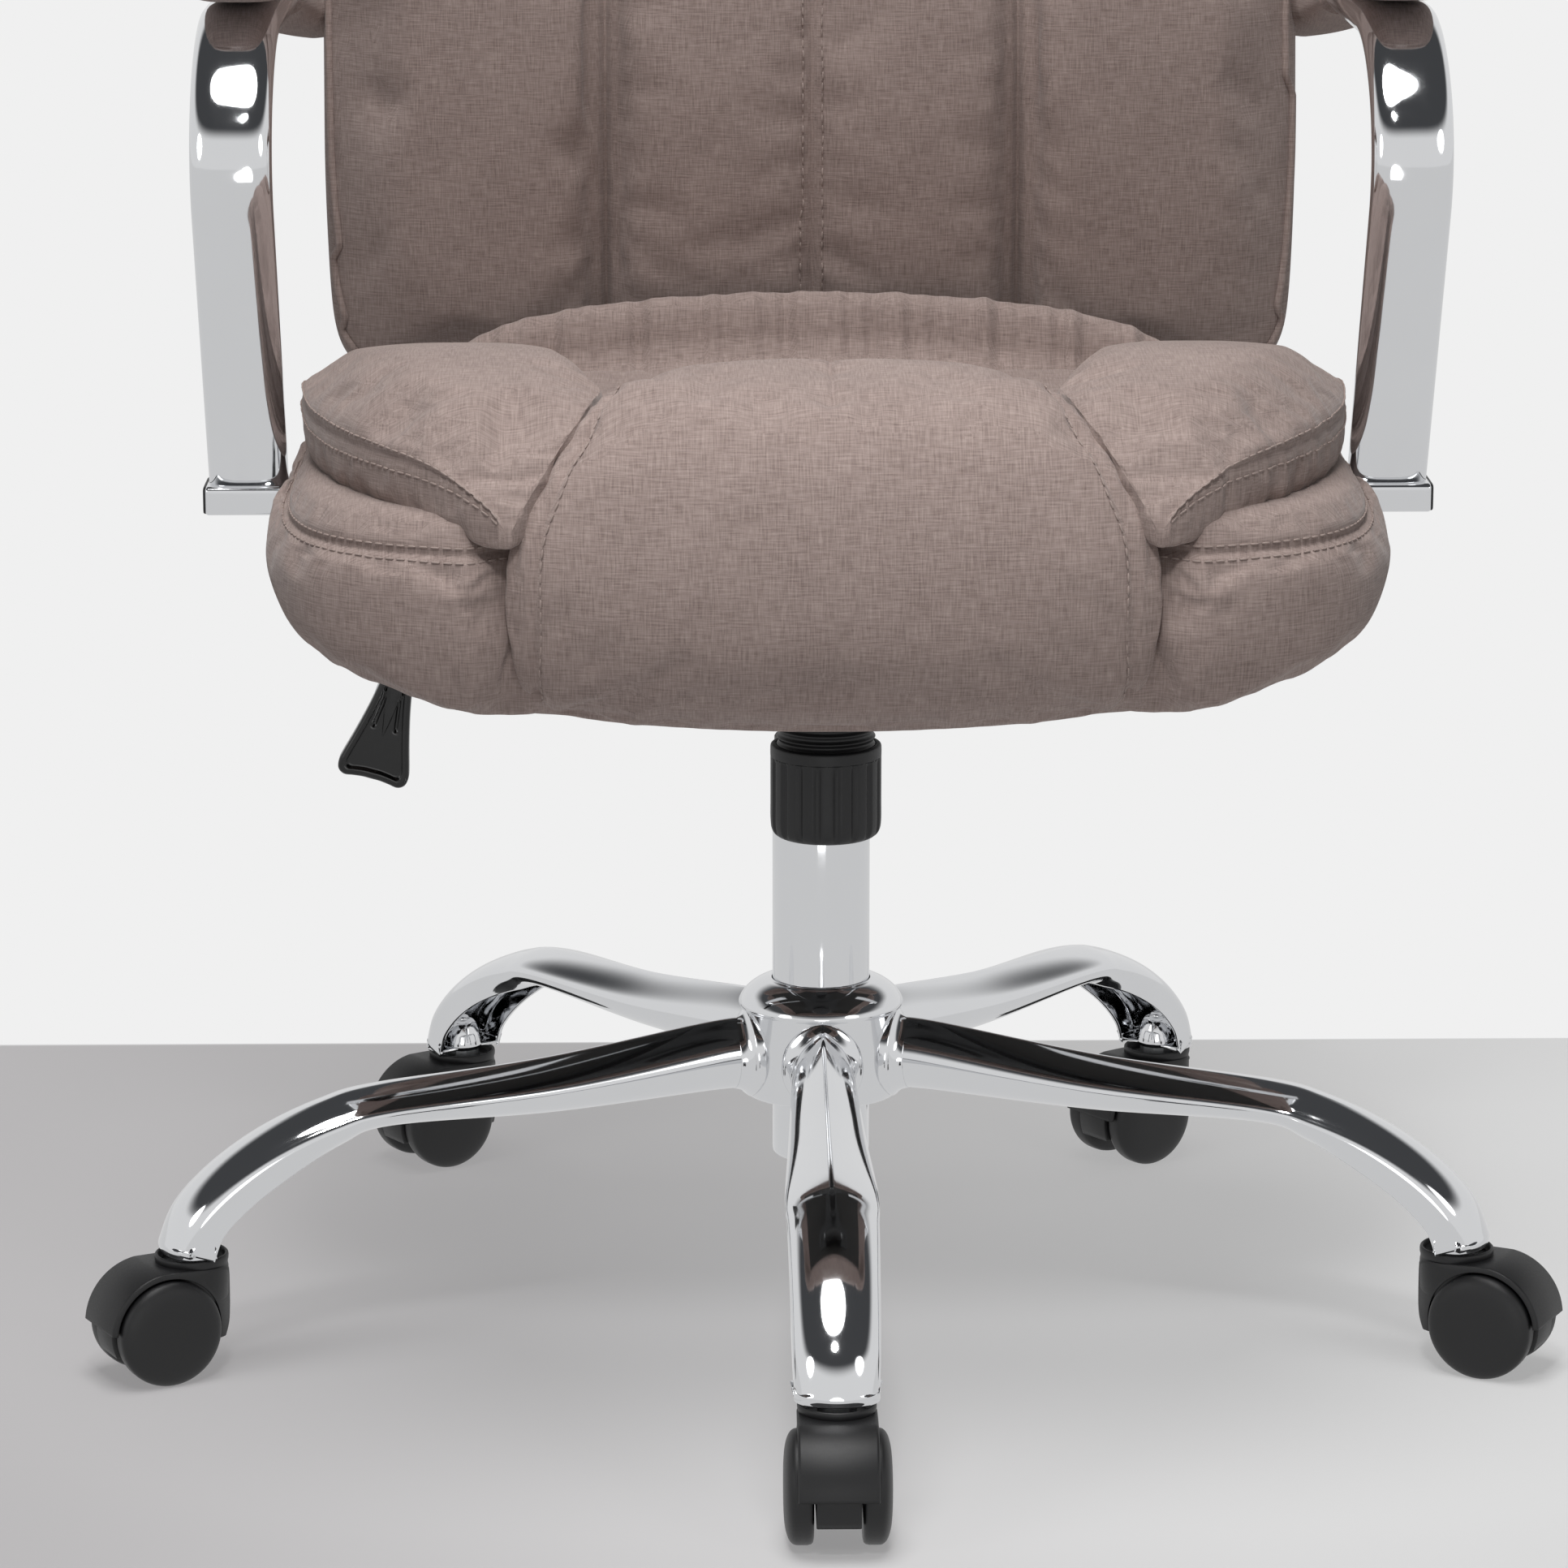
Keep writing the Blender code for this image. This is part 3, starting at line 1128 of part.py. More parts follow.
def make_spring(foot):
    """Coil between the cup and the tilt plate."""
    low = foot + GAP + SPRING_WIRE_R
    high = PLATE_Z - GAP - SPRING_WIRE_R
    share = np.linspace(0.0, 1.0, SPRING_TURNS * SPRING_POINTS + 1)
    turn = TWO_PI * SPRING_TURNS * share
    coil = np.stack((
        SPRING_R * np.cos(turn), SPRING_Y + SPRING_R * np.sin(turn), low + (high - low) * share,
    ), axis=-1)
    spring = wire("tension_spring", coil.tolist(), SPRING_WIRE_R, 1)
    add_part("tension_spring", spring, STEEL, LIFT_AXIS)
    pitch = np.linalg.norm(coil[SPRING_POINTS:] - coil[:-SPRING_POINTS], axis=1).min()
    print(f"tension_spring least gap to itself {(pitch - 2.0 * SPRING_WIRE_R) * 1000.0:.2f} mm")


def make_tension_screw():
    """Sleeve, knob, cup and spring that load the tilt."""
    at = Matrix.Translation((0.0, SPRING_Y, 0.0))
    make_sleeve(at)
    make_spring(make_knob_and_cup(at))


# Height lever

def lever_line():
    """Route of the rod: straight over the pin, through the bush, down to the paddle."""
    near = -FULCRUM_X - PIN_R
    seat = PIN_TOP_Z + GAP - FULCRUM_Z
    slope = (seat + LEVER_ROD_R) / near
    slope = (seat + LEVER_ROD_R * math.hypot(1.0, slope)) / near
    inner = (LEVER_PAST_PIN, 0.0, FULCRUM_Z + slope * (LEVER_PAST_PIN - FULCRUM_X))
    knee = (LEVER_KNEE_X, 0.0, FULCRUM_Z + slope * (LEVER_KNEE_X - FULCRUM_X))
    tip_x = PADDLE_X + LEVER_ROD_R
    reach = (LEVER_KNEE_X - tip_x) * LEVER_KNEE_PULL
    drop = bezier((
        knee, (knee[0] - reach, 0.0, knee[2] - slope * reach),
        (tip_x + EDGE, 0.0, PADDLE_TOP_Z + PADDLE_T), (tip_x, 0.0, PADDLE_TOP_Z - PADDLE_GRIP)), 8)
    return [inner] + drop.tolist()


def paddle_outline():
    """Bell-shaped side lines from a narrow neck, and a foot in waves, as (X, Z)."""
    top, foot = PADDLE_TOP_Z, PADDLE_BOTTOM_Z
    wide, neck = PADDLE_HALF_W, PADDLE_NECK_HALF_W
    hip = foot + PADDLE_H / 6.0
    middle = (top + foot) / 2.0
    right = bezier(((neck, top), (neck, middle), (wide, middle), (wide, hip)), 6)
    wave = np.linspace(1.0, -1.0, 9)
    ripple = PADDLE_WAVE * (1.0 - np.cos(3.0 * math.pi * wave) + 2.0 * wave ** 2)
    bottom = np.stack(((wide - EDGE) * wave, foot + ripple), axis=-1)
    left = right[::-1] * (-1.0, 1.0)
    return np.concatenate((right, bottom, left)) + (PADDLE_X, 0.0)


def make_lever():
    half = LEVER_BUSH_L / 2.0
    waist = hole(LEVER_ROD_R, BUSH_STEPS)
    mouth = LEVER_BUSH_R - LEVER_BUSH_LIP
    throat = EDGE / 2.0
    bush = [
        (mouth, half), (LEVER_BUSH_R, half), (LEVER_BUSH_R, -half), (mouth, -half),
        (waist, -throat), (waist, throat),
    ]
    middle = along_x((FULCRUM_X, 0.0, FULCRUM_Z))
    add_part("lever_bush", turned("lever_bush", bush, BUSH_STEPS), BLACK_PLASTIC, LIFT_AXIS, middle)
    axis = add_empty("lever_axis", (FULCRUM_X, 0.0, FULCRUM_Z))
    line = lever_line()
    add_part("lever_rod", wire("lever_rod", line, LEVER_ROD_R, 2), STEEL, axis)
    slab = moved(flat("lever_paddle", [paddle_outline().tolist()], PADDLE_T), front_to_world())
    paddle = add_part("lever_paddle", slab, GLOSS_PLASTIC, axis)
    rounded(paddle, PADDLE_ROUND)
    combine(paddle, wire("rod_hole", line, LEVER_ROD_R + GAP, 2), "DIFFERENCE")


# Seat

def board_outline(over, under):
    """Side view of the seat board, flat then rolled down at the front.

    With over and under it is the pocket that the board sits in.
    """
    centre = (BOARD_BEND_Y, BOARD_Z - BOARD_BEND_R)
    end_deg = 90.0 + BOARD_BEND_DEG
    top = arc(centre, BOARD_BEND_R + BOARD_T + over, end_deg, 90.0, 8)
    rear = BOARD_REAR_Y + over
    top.append((rear, BOARD_Z + BOARD_T + over))
    if under:
        front = top[0][0] - over
        return [(rear, BOARD_Z - under), (front, BOARD_Z - under), (front, top[0][1])] + top
    return [(rear, BOARD_Z)] + arc(centre, BOARD_BEND_R, 90.0, end_deg, 8) + top


def spread(values, lines, seam):
    """Move evenly spaced grid lines to chosen ones on both sides of the middle."""
    stops = np.sort(np.concatenate((lines, (seam - SEAM_LINE, seam, seam + SEAM_LINE))))
    both = np.concatenate((-stops[::-1], stops[1:]))
    return np.interp(values, np.linspace(-1.0, 1.0, len(both)), both)


def seat_top(x, y):
    """Height of the cushion's top before its edges are rounded."""
    along = (y - SEAT_FRONT_Y) / (SEAT_REAR_Y - SEAT_FRONT_Y)
    middle = SEAT_DIP + (SEAT_CREST - SEAT_DIP) * bump(along - 0.14, 0.16)
    middle = middle + SEAT_REAR_RISE * smooth_step((along - 0.72) / 0.25)
    pillow = SEAT_PILLOW - SEAT_PILLOW_FALL * ((along - 0.36) / 0.5) ** 2
    beside = np.abs(x) - SEAT_SEAM_X
    share = smooth_step(beside / SEAT_PANEL_SLOPE)
    groove = SEAT_CHANNEL * bump(beside, SEAT_SEAM_W) * smooth_step((0.95 - along) / 0.25)
    return BOARD_Z + middle + (pillow - middle) * share - groove


def seat_shape(a, b, c):
    """Cube grid to cushion: rounded plan, crowned top, lip rolled down in front."""
    a = spread(a, SEAT_LINES, SEAT_SEAM_X / SEAT_HALF_W)
    b = np.sin(b * math.pi * 0.43) / math.sin(math.pi * 0.43)
    draw, rise = puffed(a, b, c, 0.55, 0.22)
    middle = (SEAT_FRONT_Y + SEAT_REAR_Y) / 2.0
    half_l = (SEAT_REAR_Y - SEAT_FRONT_Y) / 2.0
    y = middle + half_l * b * np.sqrt(1.0 - 0.25 * a ** 2) * draw
    tuck = SEAT_REAR_TUCK * smooth_step((y - middle) / half_l)
    x = (SEAT_HALF_W - tuck) * a * np.sqrt(1.0 - 0.22 * b ** 2) * draw
    front = smooth_step((SEAT_LIP_START_Y - y) / SEAT_LIP_L)
    fall = SEAT_LIP_DROP + SEAT_SKIN - SEAT_CORNER_RISE * a ** 4
    floor = BOARD_Z + SEAT_SKIN - fall * front
    return x, y, floor + (seat_top(x, y) - floor) * (rise + 1.0) / 2.0


def make_seat():
    width = 2.0 * BOARD_HALF_W
    board = moved(flat("seat_board", [board_outline(0.0, 0.0)], width), side_to_world())
    add_part("seat_board", board, WOOD, TILT_AXIS)
    body = block("seat_cushion", (17, 15, 4), seat_shape)
    cushion = add_part("seat_cushion", body, FABRIC, TILT_AXIS)
    pocket = flat("board_pocket", [board_outline(GAP, BOARD_POCKET)], width + 2.0 * GAP)
    combine(cushion, moved(pocket, side_to_world()), "DIFFERENCE")


# Back

def back_to_world():
    """Places the back's own axes: X across, Y up the cushion, Z out of its front."""
    place = Matrix.Translation((0.0, BACK_FOOT_Y, BACK_FOOT_Z))
    return place @ Matrix.Rotation(-math.radians(BACK_LEAN_DEG), 4, "X") @ front_to_world()


def back_rows(b):
    """Gather the rows of the grid at the head pillow's seam."""
    head = 2.0 * BACK_HEAD_SEAM / BACK_L - 1.0
    near = np.array((-0.16, -SEAM_LINE, 0.0, SEAM_LINE, 0.16)) + head
    stops = np.sort(np.concatenate((BACK_RISERS, near)))
    return np.interp(b, np.linspace(-1.0, 1.0, len(stops)), stops)


def back_seams(x, y):
    """Depth of the channels below the head pillow and of its own seam."""
    channels = BACK_CHANNEL * bump(np.abs(x) - BACK_SEAM_X, BACK_SEAM_W)
    channels = channels + BACK_MIDDLE_SEAM * bump(x, BACK_SEAM_W)
    below = smooth_step((BACK_HEAD_SEAM - y) / BACK_HEAD_SEAM_W)
    return channels * below + BACK_HEAD_CHANNEL * bump(y - BACK_HEAD_SEAM, BACK_HEAD_SEAM_W)


def back_shape(a, b, c):
    """Cube grid to back cushion: channels, a lumbar swell and a head pillow."""
    a = spread(a, BACK_LINES, BACK_SEAM_X / BACK_HALF_W)
    b = back_rows(b)
    up = (b + 1.0) / 2.0
    draw, rise = puffed(a, b, c, 0.5, 0.3)
    inset = BACK_SHOULDER_IN * smooth_step((up - 0.72) / 0.28)
    inset = inset + BACK_FOOT_IN * smooth_step((0.2 - up) / 0.2)
    x = (BACK_HALF_W - inset) * a * np.sqrt(1.0 - 0.22 * b ** 10) * draw
    y = BACK_L * (1.0 + b * np.sqrt(1.0 - 0.20 * a ** 4) * draw) / 2.0
    swell = BACK_LUMBAR * bump(up - 0.26, 0.14) + BACK_PILLOW * bump(up - 0.84, 0.10)
    front = BACK_T / 2.0 + swell - back_seams(x, y)
    return x, y, np.where(rise > 0.0, rise * front, rise * BACK_T / 2.0)


def make_back():
    place = back_to_world()
    body = block("back_cushion", (17, 13, 3), back_shape)
    cushion = add_part("back_cushion", body, FABRIC, TILT_AXIS, place)
    rear = -BACK_T / 2.0 - BACK_BOARD_PROUD
    low = Vector((-BACK_BOARD_HALF_W, BACK_BOARD_FOOT, rear))
    high = Vector((BACK_BOARD_HALF_W, BACK_BOARD_FOOT + BACK_BOARD_L, rear + BACK_BOARD_T))
    board = add_part("back_board", box("back_board", low, high), FABRIC, TILT_AXIS, place)
    rounded(board, BACK_BOARD_ROUND, 1)
    pocket = box("back_pocket", low - Vector((GAP, GAP, BACK_T)), high + Vector((GAP, GAP, GAP)))
    combine(cushion, moved(pocket, place), "DIFFERENCE")


# Arms

def loop_line():
    """Middle of the chrome loop on the +X side, from its foot to the back's side."""
    foot = np.array((LOOP_X, POST_FOOT_Y, BOARD_Z - GAP - FOOT_T / 2.0))
    knee = np.array((LOOP_X, POST_KNEE_Y, POST_KNEE_Z))
    lean = (knee - foot) / np.linalg.norm(knee - foot)
    run = np.array((LOOP_X, LOOP_RUN_Y, LOOP_RUN_Z))
    rise = LOOP_PULL * (LOOP_RUN_Z - POST_KNEE_Z)
    reach = LOOP_PULL * (LOOP_RUN_Y - POST_KNEE_Y)
    elbow = bezier((knee, knee + lean * rise, run - (0.0, reach, 0.0), run), 8)
    rear = np.array((LOOP_X, LOOP_REAR_Y, LOOP_RUN_Z))
    end = np.array((BACK_HALF_W - LOOP_END_IN, LOOP_END_Y, LOOP_END_Z))
    third = (LOOP_END_Y - LOOP_REAR_Y) / 3.0
    pull = end + (third, -third, (LOOP_RUN_Z - LOOP_END_Z) / 3.0)
    tail = bezier((rear, rear + (0.0, third, 0.0), pull, end), 6)
    return np.concatenate((foot[None], elbow, tail))


def loop_mesh():
    """A flat-oval tube along the loop; its wide axis starts along X."""
    line = loop_line()
    ahead = np.gradient(line, axis=0)
    ahead[:2] = line[1] - line[0]
    ahead /= np.linalg.norm(ahead, axis=1)[:, None]
    across = np.array((1.0, 0.0, 0.0)) - ahead * ahead[:, :1]
    across /= np.linalg.norm(across, axis=1)[:, None]
    thick = np.cross(ahead, across)
    turn = np.linspace(0.0, TWO_PI, LOOP_POINTS, endpoint=False)
    wide = np.sign(np.cos(turn)) * np.abs(np.cos(turn)) ** 0.6 * LOOP_W / 2.0
    deep = np.sign(np.sin(turn)) * np.abs(np.sin(turn)) ** 0.8 * LOOP_T / 2.0
    rings = line[:, None] + across[:, None] * wide[None, :, None] + thick[:, None] * deep[None, :, None]
    return loft("arm_loop", rings, closed=True)


def pad_shape(a, b, c):
    """Cube grid to arm pad: rounded ends and a crowned top over a flat underside."""
    middle = (PAD_FRONT_Y + PAD_REAR_Y) / 2.0
    half_l = (PAD_REAR_Y - PAD_FRONT_Y) / 2.0
    draw, rise = puffed(a, b * b, c, 0.7, 0.3)
    x = LOOP_X + PAD_HALF_W * a * np.sqrt(1.0 - 0.25 * b ** 4) * draw
    y = middle + half_l * b * np.sqrt(1.0 - 0.22 * a ** 2) * draw
    rise = np.where(c > 0.0, rise, c)
    return x, y, LOOP_RUN_Z + LOOP_T / 2.0 + GAP + PAD_H * (rise + 1.0) / 2.0


def handed(mesh, way):
    """The mesh, or its mirror image for the -X side."""
    if way > 0.0:
        return mesh
    return welded(moved(mesh, Matrix.Diagonal((way, 1.0, 1.0, 1.0))))


def make_arms():
    bar_top = BOARD_Z - GAP
    bar_low = (PLATE_HALF_W + FOOT_TO_PLATE, POST_FOOT_Y - FOOT_W / 2.0, bar_top - FOOT_T)
    bar_high = (LOOP_X + FOOT_OVER, POST_FOOT_Y + FOOT_W / 2.0, bar_top)
    side_x = BACK_HALF_W + GAP
    trim_low = (side_x - LOOP_W, LOOP_REAR_Y, LOOP_END_Z - LOOP_W)
    trim_high = (side_x, LOOP_END_Y + LOOP_W, LOOP_RUN_Z + LOOP_W)
    for side, way in (("left", -1.0), ("right", 1.0)):
        loop = add_part(f"arm_loop_{side}", handed(loop_mesh(), way), CHROME, TILT_AXIS)
        combine(loop, handed(box("foot_bar", bar_low, bar_high), way), "UNION")
        combine(loop, handed(box("back_face", trim_low, trim_high), way), "DIFFERENCE")
        pad = handed(block("arm_pad", (5, 9, 2), pad_shape), way)
        add_part(f"arm_pad_{side}", pad, FABRIC, TILT_AXIS)


clear_scene()
PARTS = make_collection("swivel_chair")
TOOLS = make_collection("swivel_chair_cutters")
CHROME = make_material("chrome_plate", "D8DADD", 0.08, 1.0)
STEEL = make_material("turned_steel", "9A9DA1", 0.30, 1.0)
DARK_STEEL = make_material("painted_steel", "1B1B1C", 0.45, 0.3)
BLACK_PLASTIC = make_material("moulded_plastic", "1E1F21", 0.55, 0.0)
GLOSS_PLASTIC = make_material("polished_plastic", "121314", 0.18, 0.0)
FABRIC = make_material("woven_upholstery", "8A7C75", 0.95, 0.0)
WOOD = make_material("plywood", "B48A5A", 0.70, 0.0)
LIFT_AXIS = add_empty("seat_height", (0.0, 0.0, CYLINDER_BOTTOM_Z))
TILT_AXIS = add_empty("seat_tilt", (0.0, PIVOT_Y, PIVOT_Z))
make_base()
make_castors()
make_column()
make_lift_rod()
make_cylinder()
make_housing()
make_tilt_plate()
make_tension_screw()
make_lever()
make_seat()
make_back()
make_arms()
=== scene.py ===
"""Looks of an upholstered swivel chair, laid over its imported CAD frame."""

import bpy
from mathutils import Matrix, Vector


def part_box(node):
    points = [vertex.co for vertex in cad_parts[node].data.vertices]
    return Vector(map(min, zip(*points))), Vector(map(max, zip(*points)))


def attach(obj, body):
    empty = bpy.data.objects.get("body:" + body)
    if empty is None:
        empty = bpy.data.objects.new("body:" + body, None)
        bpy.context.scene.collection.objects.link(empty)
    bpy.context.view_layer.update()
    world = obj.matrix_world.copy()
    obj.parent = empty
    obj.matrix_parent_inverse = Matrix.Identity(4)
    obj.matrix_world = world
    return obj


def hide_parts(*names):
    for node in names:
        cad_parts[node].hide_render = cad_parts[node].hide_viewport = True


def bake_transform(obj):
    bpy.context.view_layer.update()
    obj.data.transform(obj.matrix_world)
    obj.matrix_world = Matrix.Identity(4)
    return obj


bl_info = {
    "name": "Upholstered swivel chair",
    "version": (1, 0, 0),
    "blender": (4, 5, 0),
    "location": "View3D > Sidebar > Chair",
    "description": "Builds the chair's covers, chrome, castors and stage on its CAD frame",
    "category": "Object",
}

import bpy
import numpy as np
from mathutils import Vector

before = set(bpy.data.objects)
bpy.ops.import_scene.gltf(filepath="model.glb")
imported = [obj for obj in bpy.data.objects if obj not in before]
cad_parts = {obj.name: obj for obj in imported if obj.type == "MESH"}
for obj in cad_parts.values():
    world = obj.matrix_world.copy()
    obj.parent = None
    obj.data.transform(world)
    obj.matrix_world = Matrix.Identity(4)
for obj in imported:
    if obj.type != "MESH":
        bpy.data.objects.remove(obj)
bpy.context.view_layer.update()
TURN = 2.0 * np.pi


def corners(node):
    """Lowest and highest corner of a CAD node, as arrays."""
    low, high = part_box(node)
    return np.array(low, float), np.array(high, float)


def linear(code):
    """A linear colour from an sRGB hex value."""
    srgb = np.array([int(code[k:k + 2], 16) for k in (0, 2, 4)]) / 255.0
    return tuple(np.where(srgb <= 0.04045, srgb / 12.92, ((srgb + 0.055) / 1.055) ** 2.4).tolist())


SEAT_LOW, SEAT_HIGH = corners("seat_cushion")
TUBE_LOW, TUBE_HIGH = corners("column_tube")
KNOB_LOW, KNOB_HIGH = corners("tension_knob")
SLEEVE_LOW, SLEEVE_HIGH = corners("spring_sleeve")
HUB_LOW, HUB_HIGH = corners("base_hub")
PADDLE_FOOT = corners("lever_paddle")[0][2]
PAD_LOW, PAD_HIGH = corners("arm_pad_right")
BACK_LEAN = np.radians(10.0)
BACK_FOOT = np.array((0.0, 0.2685, 0.434))
BACK_LENGTH = 0.721
BOARD_THICK = 0.012
BOARD_UNDERSIDE = corners("seat_board")[1][2] - BOARD_THICK
WOVEN = "woven_upholstery"
WHEEL_RADIUS = 0.027
STITCH_LIFT = 0.0003


def size(name, text, default):
    return bpy.props.FloatProperty(name=name, description=text, default=float(default), unit="LENGTH", precision=4)


def colour(name, text, code):
    return bpy.props.FloatVectorProperty(
        name=name, description=text, default=linear(code), subtype="COLOR", size=3, min=0.0, max=1.0)


class ChairSizes(bpy.types.PropertyGroup):
    seat_half_width: size("Seat half width", "Middle of the seat to its side", SEAT_HIGH[0] - 0.001)
    seat_front: size("Seat front", "Front of the seat, along Y", SEAT_LOW[1] + 0.001)
    seat_rear: size("Seat rear", "Rear of the seat, along Y", SEAT_HIGH[1])
    band_seam: size("Band seam", "Height of the stitched seam round the seat", 0.4460)
    pillow_top: size("Side pillow top", "Highest line of the side pillows", 0.5190)
    back_half_width: size("Back half width", "Middle of the back to its side", 0.2660)
    back_thick: size("Back thickness", "Back cushion without its swells", 0.105)
    channel: size("Channel depth", "Depth of the sewn channels of the back", 0.017)
    piping: size("Piping radius", "Radius of the corded seams", 0.0022)
    stitch: size("Stitch length", "Length of one stitch", 0.0042)
    stitch_gap: size("Stitch gap", "Bare cloth between two stitches", 0.0016)
    thread: size("Thread radius", "Radius of the sewing thread", 0.00055)
    weave: size("Thread spacing", "Spacing of the yarns that show in the cloth", 0.0008)
    slub: size("Slub length", "Length of the thick places in a yarn", 0.011)
    wheel: size("Castor wheel radius", "Radius of the castor wheels", WHEEL_RADIUS)


class ChairColours(bpy.types.PropertyGroup):
    cloth_light: colour("Cloth, light yarns", "Lighter yarns of the cover", "B8A69F")
    cloth_dark: colour("Cloth, dark yarns", "Darker yarns of the cover", "776762")
    thread: colour("Sewing thread", "Stitches on the cover", "A6958E")
    chrome: colour("Chrome", "Plated steel", "E4E5E7")
    plastic: colour("Moulded plastic", "Castors, knob and bushes", "121214")
    paddle: colour("Polished plastic", "Height lever's paddle", "0D0D0E")
    paint: colour("Painted steel", "Tilt mechanism", "1C1C1D")
    steel: colour("Turned steel", "Shafts, spring and gas lift", "A6A8AB")
    ply: colour("Stained plywood", "Seat board", "262321")
    # Painted shade: the floor's colour runs from darker on the left to lighter on the right, standing in for how the
    # light falls across it
    floor_painted_shade: colour("Floor, shaded side", "Left of the floor", "CCCACB")
    floor_painted_light: colour("Floor, light side", "Right of the floor", "F0F0F0")
    wall: colour("Background", "Behind the chair", "F0F0F0")


# Numbers on grids

def ease(x):
    """Smooth rise from 0 to 1 while x goes from 0 to 1."""
    t = np.clip(x, 0.0, 1.0)
    return t * t * (3.0 - 2.0 * t)


def bell(x, width):
    """Bell curve of height 1."""
    return np.exp(-(np.asarray(x) / width) ** 2)


def unit(v):
    return v / np.maximum(np.linalg.norm(v, axis=-1, keepdims=True), 1e-12)


def power(x, exponent):
    """x to a power with its sign kept."""
    return np.sign(x) * np.abs(x) ** exponent


def evened(points, count, closed=False, weight=None):
    """Points at even steps of length along a line of points, closer together where weight is larger."""
    weight = np.ones(len(points)) if weight is None else weight
    if closed:
        points, weight = np.concatenate((points, points[:1])), np.append(weight, weight[0])
    step = np.linalg.norm(np.diff(points, axis=0), axis=1) * (weight[1:] + weight[:-1]) / 2.0
    run = np.append(0.0, np.cumsum(step))
    at = np.linspace(0.0, run[-1], count, endpoint=not closed)
    return np.stack([np.interp(at, run, column) for column in points.T], axis=-1)


def skinned(rows, steps):
    """A smooth cubic through control rows, with steps between each two of them.

    Each stretch is the Catmull-Rom cubic of its two rows and their neighbours.
    """
    rows = np.asarray(rows, float)
    padded = np.concatenate((2.0 * rows[:1] - rows[1:2], rows, 2.0 * rows[-1:] - rows[-2:-1]))
    at = np.arange((len(rows) - 1) * steps + 1) / steps
    k = np.minimum(at.astype(int), len(rows) - 2)
    t = (at - k).reshape((-1,) + (1,) * (rows.ndim - 1))
    p, q, r, s = padded[k], padded[k + 1], padded[k + 2], padded[k + 3]
    square, cube = t * t, t * t * t
    return 0.5 * (2.0 * q + (r - p) * t + (2.0 * p - 5.0 * q + 4.0 * r - s) * square
                  + (3.0 * q - p - 3.0 * r + s) * cube)


def curved(points, count):
    """The cubic through points, at even steps of its length."""
    return evened(skinned(points, 24), count)


def turned(vectors, angle, place=(0.0, 0.0, 0.0)):
    """Points turned about Z and moved."""
    c, s = np.cos(angle), np.sin(angle)
    x, y, z = vectors[..., 0], vectors[..., 1], vectors[..., 2]
    return np.stack((c * x - s * y, s * x + c * y, z), axis=-1) + np.asarray(place, float)


def revolved(profile, sides):
    """Profile of (radius, height) carried round Z."""
    profile = np.asarray(profile, float)
    turn = np.linspace(0.0, TURN, sides, endpoint=False)
    r, z = profile[:, :1], profile[:, 1:]
    return np.stack((r * np.cos(turn), r * np.sin(turn), np.broadcast_to(z, (len(profile), sides))), axis=-1)


def framed(line, reference, closed=False):
    """Directions along a line, across it and out of it, from a reference direction."""
    if closed:
        ahead = unit(np.roll(line, -1, axis=0) - np.roll(line, 1, axis=0))
    else:
        ahead = unit(np.gradient(line, axis=0))
    across = unit(np.cross(ahead, np.asarray(reference, float)))
    return ahead, across, np.cross(across, ahead)


def swept(line, section, reference, closed=False):
    """A section of (across, out) carried along a line; section may vary along it."""
    _, across, out = framed(line, reference, closed)
    section = np.broadcast_to(section, (len(line),) + np.shape(section)[-2:])
    return line[:, None] + across[:, None] * section[..., :1] + out[:, None] * section[..., 1:]


def ring(radius, sides):
    """Points of a circle."""
    turn = np.linspace(0.0, TURN, sides, endpoint=False)
    return radius * np.stack((np.cos(turn), np.sin(turn)), axis=-1)


def slab(outline, half, edge, steps=4):
    """A flat outline made thick, rounded at its edges: rows of (u, v, height).

    The outline is set in along its normals by edge * (1 - sin) as the height
    nears half, by a quarter circle.
    """
    tangent = np.roll(outline, -1, axis=0) - np.roll(outline, 1, axis=0)
    inward = unit(np.stack((-tangent[:, 1], tangent[:, 0]), axis=-1))
    area = np.sum(outline[:, 0] * np.roll(outline[:, 1], -1) - outline[:, 1] * np.roll(outline[:, 0], -1))
    inward = inward * np.sign(area)
    bend = np.linspace(0.0, np.pi / 2.0, steps + 1)
    inset = edge * (1.0 - np.sin(bend))
    height = half - edge * (1.0 - np.cos(bend))
    inset = np.concatenate((inset, inset[::-1]))
    height = np.concatenate((height, -height[::-1]))
    flat = outline[None] + inward[None] * inset[:, None, None]
    return np.concatenate((flat, np.broadcast_to(height[:, None, None], flat.shape[:2] + (1,))), axis=-1)


def grid(points, around=False, joined=False, ends=(False, False)):
    """Faces over points[i, j]; around closes rows, joined closes columns.

    ends cap the first and last row with one face, or sewn across with quads.
    """
    rows, count = points.shape[:2]
    i = np.arange(rows if joined else rows - 1)[:, None]
    j = np.arange(count if around else count - 1)[None, :]
    index = np.arange(rows * count).reshape(rows, count)
    quads = np.stack((
        index[i, j], index[i, (j + 1) % count],
        index[(i + 1) % rows, (j + 1) % count], index[(i + 1) % rows, j]), axis=-1).reshape(-1, 4)
    caps = []
    for end, rim in zip(ends, (index[0][::-1], index[-1])):
        if end == "sewn":
            near, far = rim[:count // 2], rim[::-1][:count // 2]
            sewn = np.stack((near[:-1], near[1:], far[1:], far[:-1]), axis=-1)
            quads = np.concatenate((quads, sewn))
        elif end:
            caps.append(rim)
    return points.reshape(-1, 3), quads, caps


def capped(points):
    """A tube of rings, closed by a face at either end."""
    return grid(points, around=True, ends=(True, True))


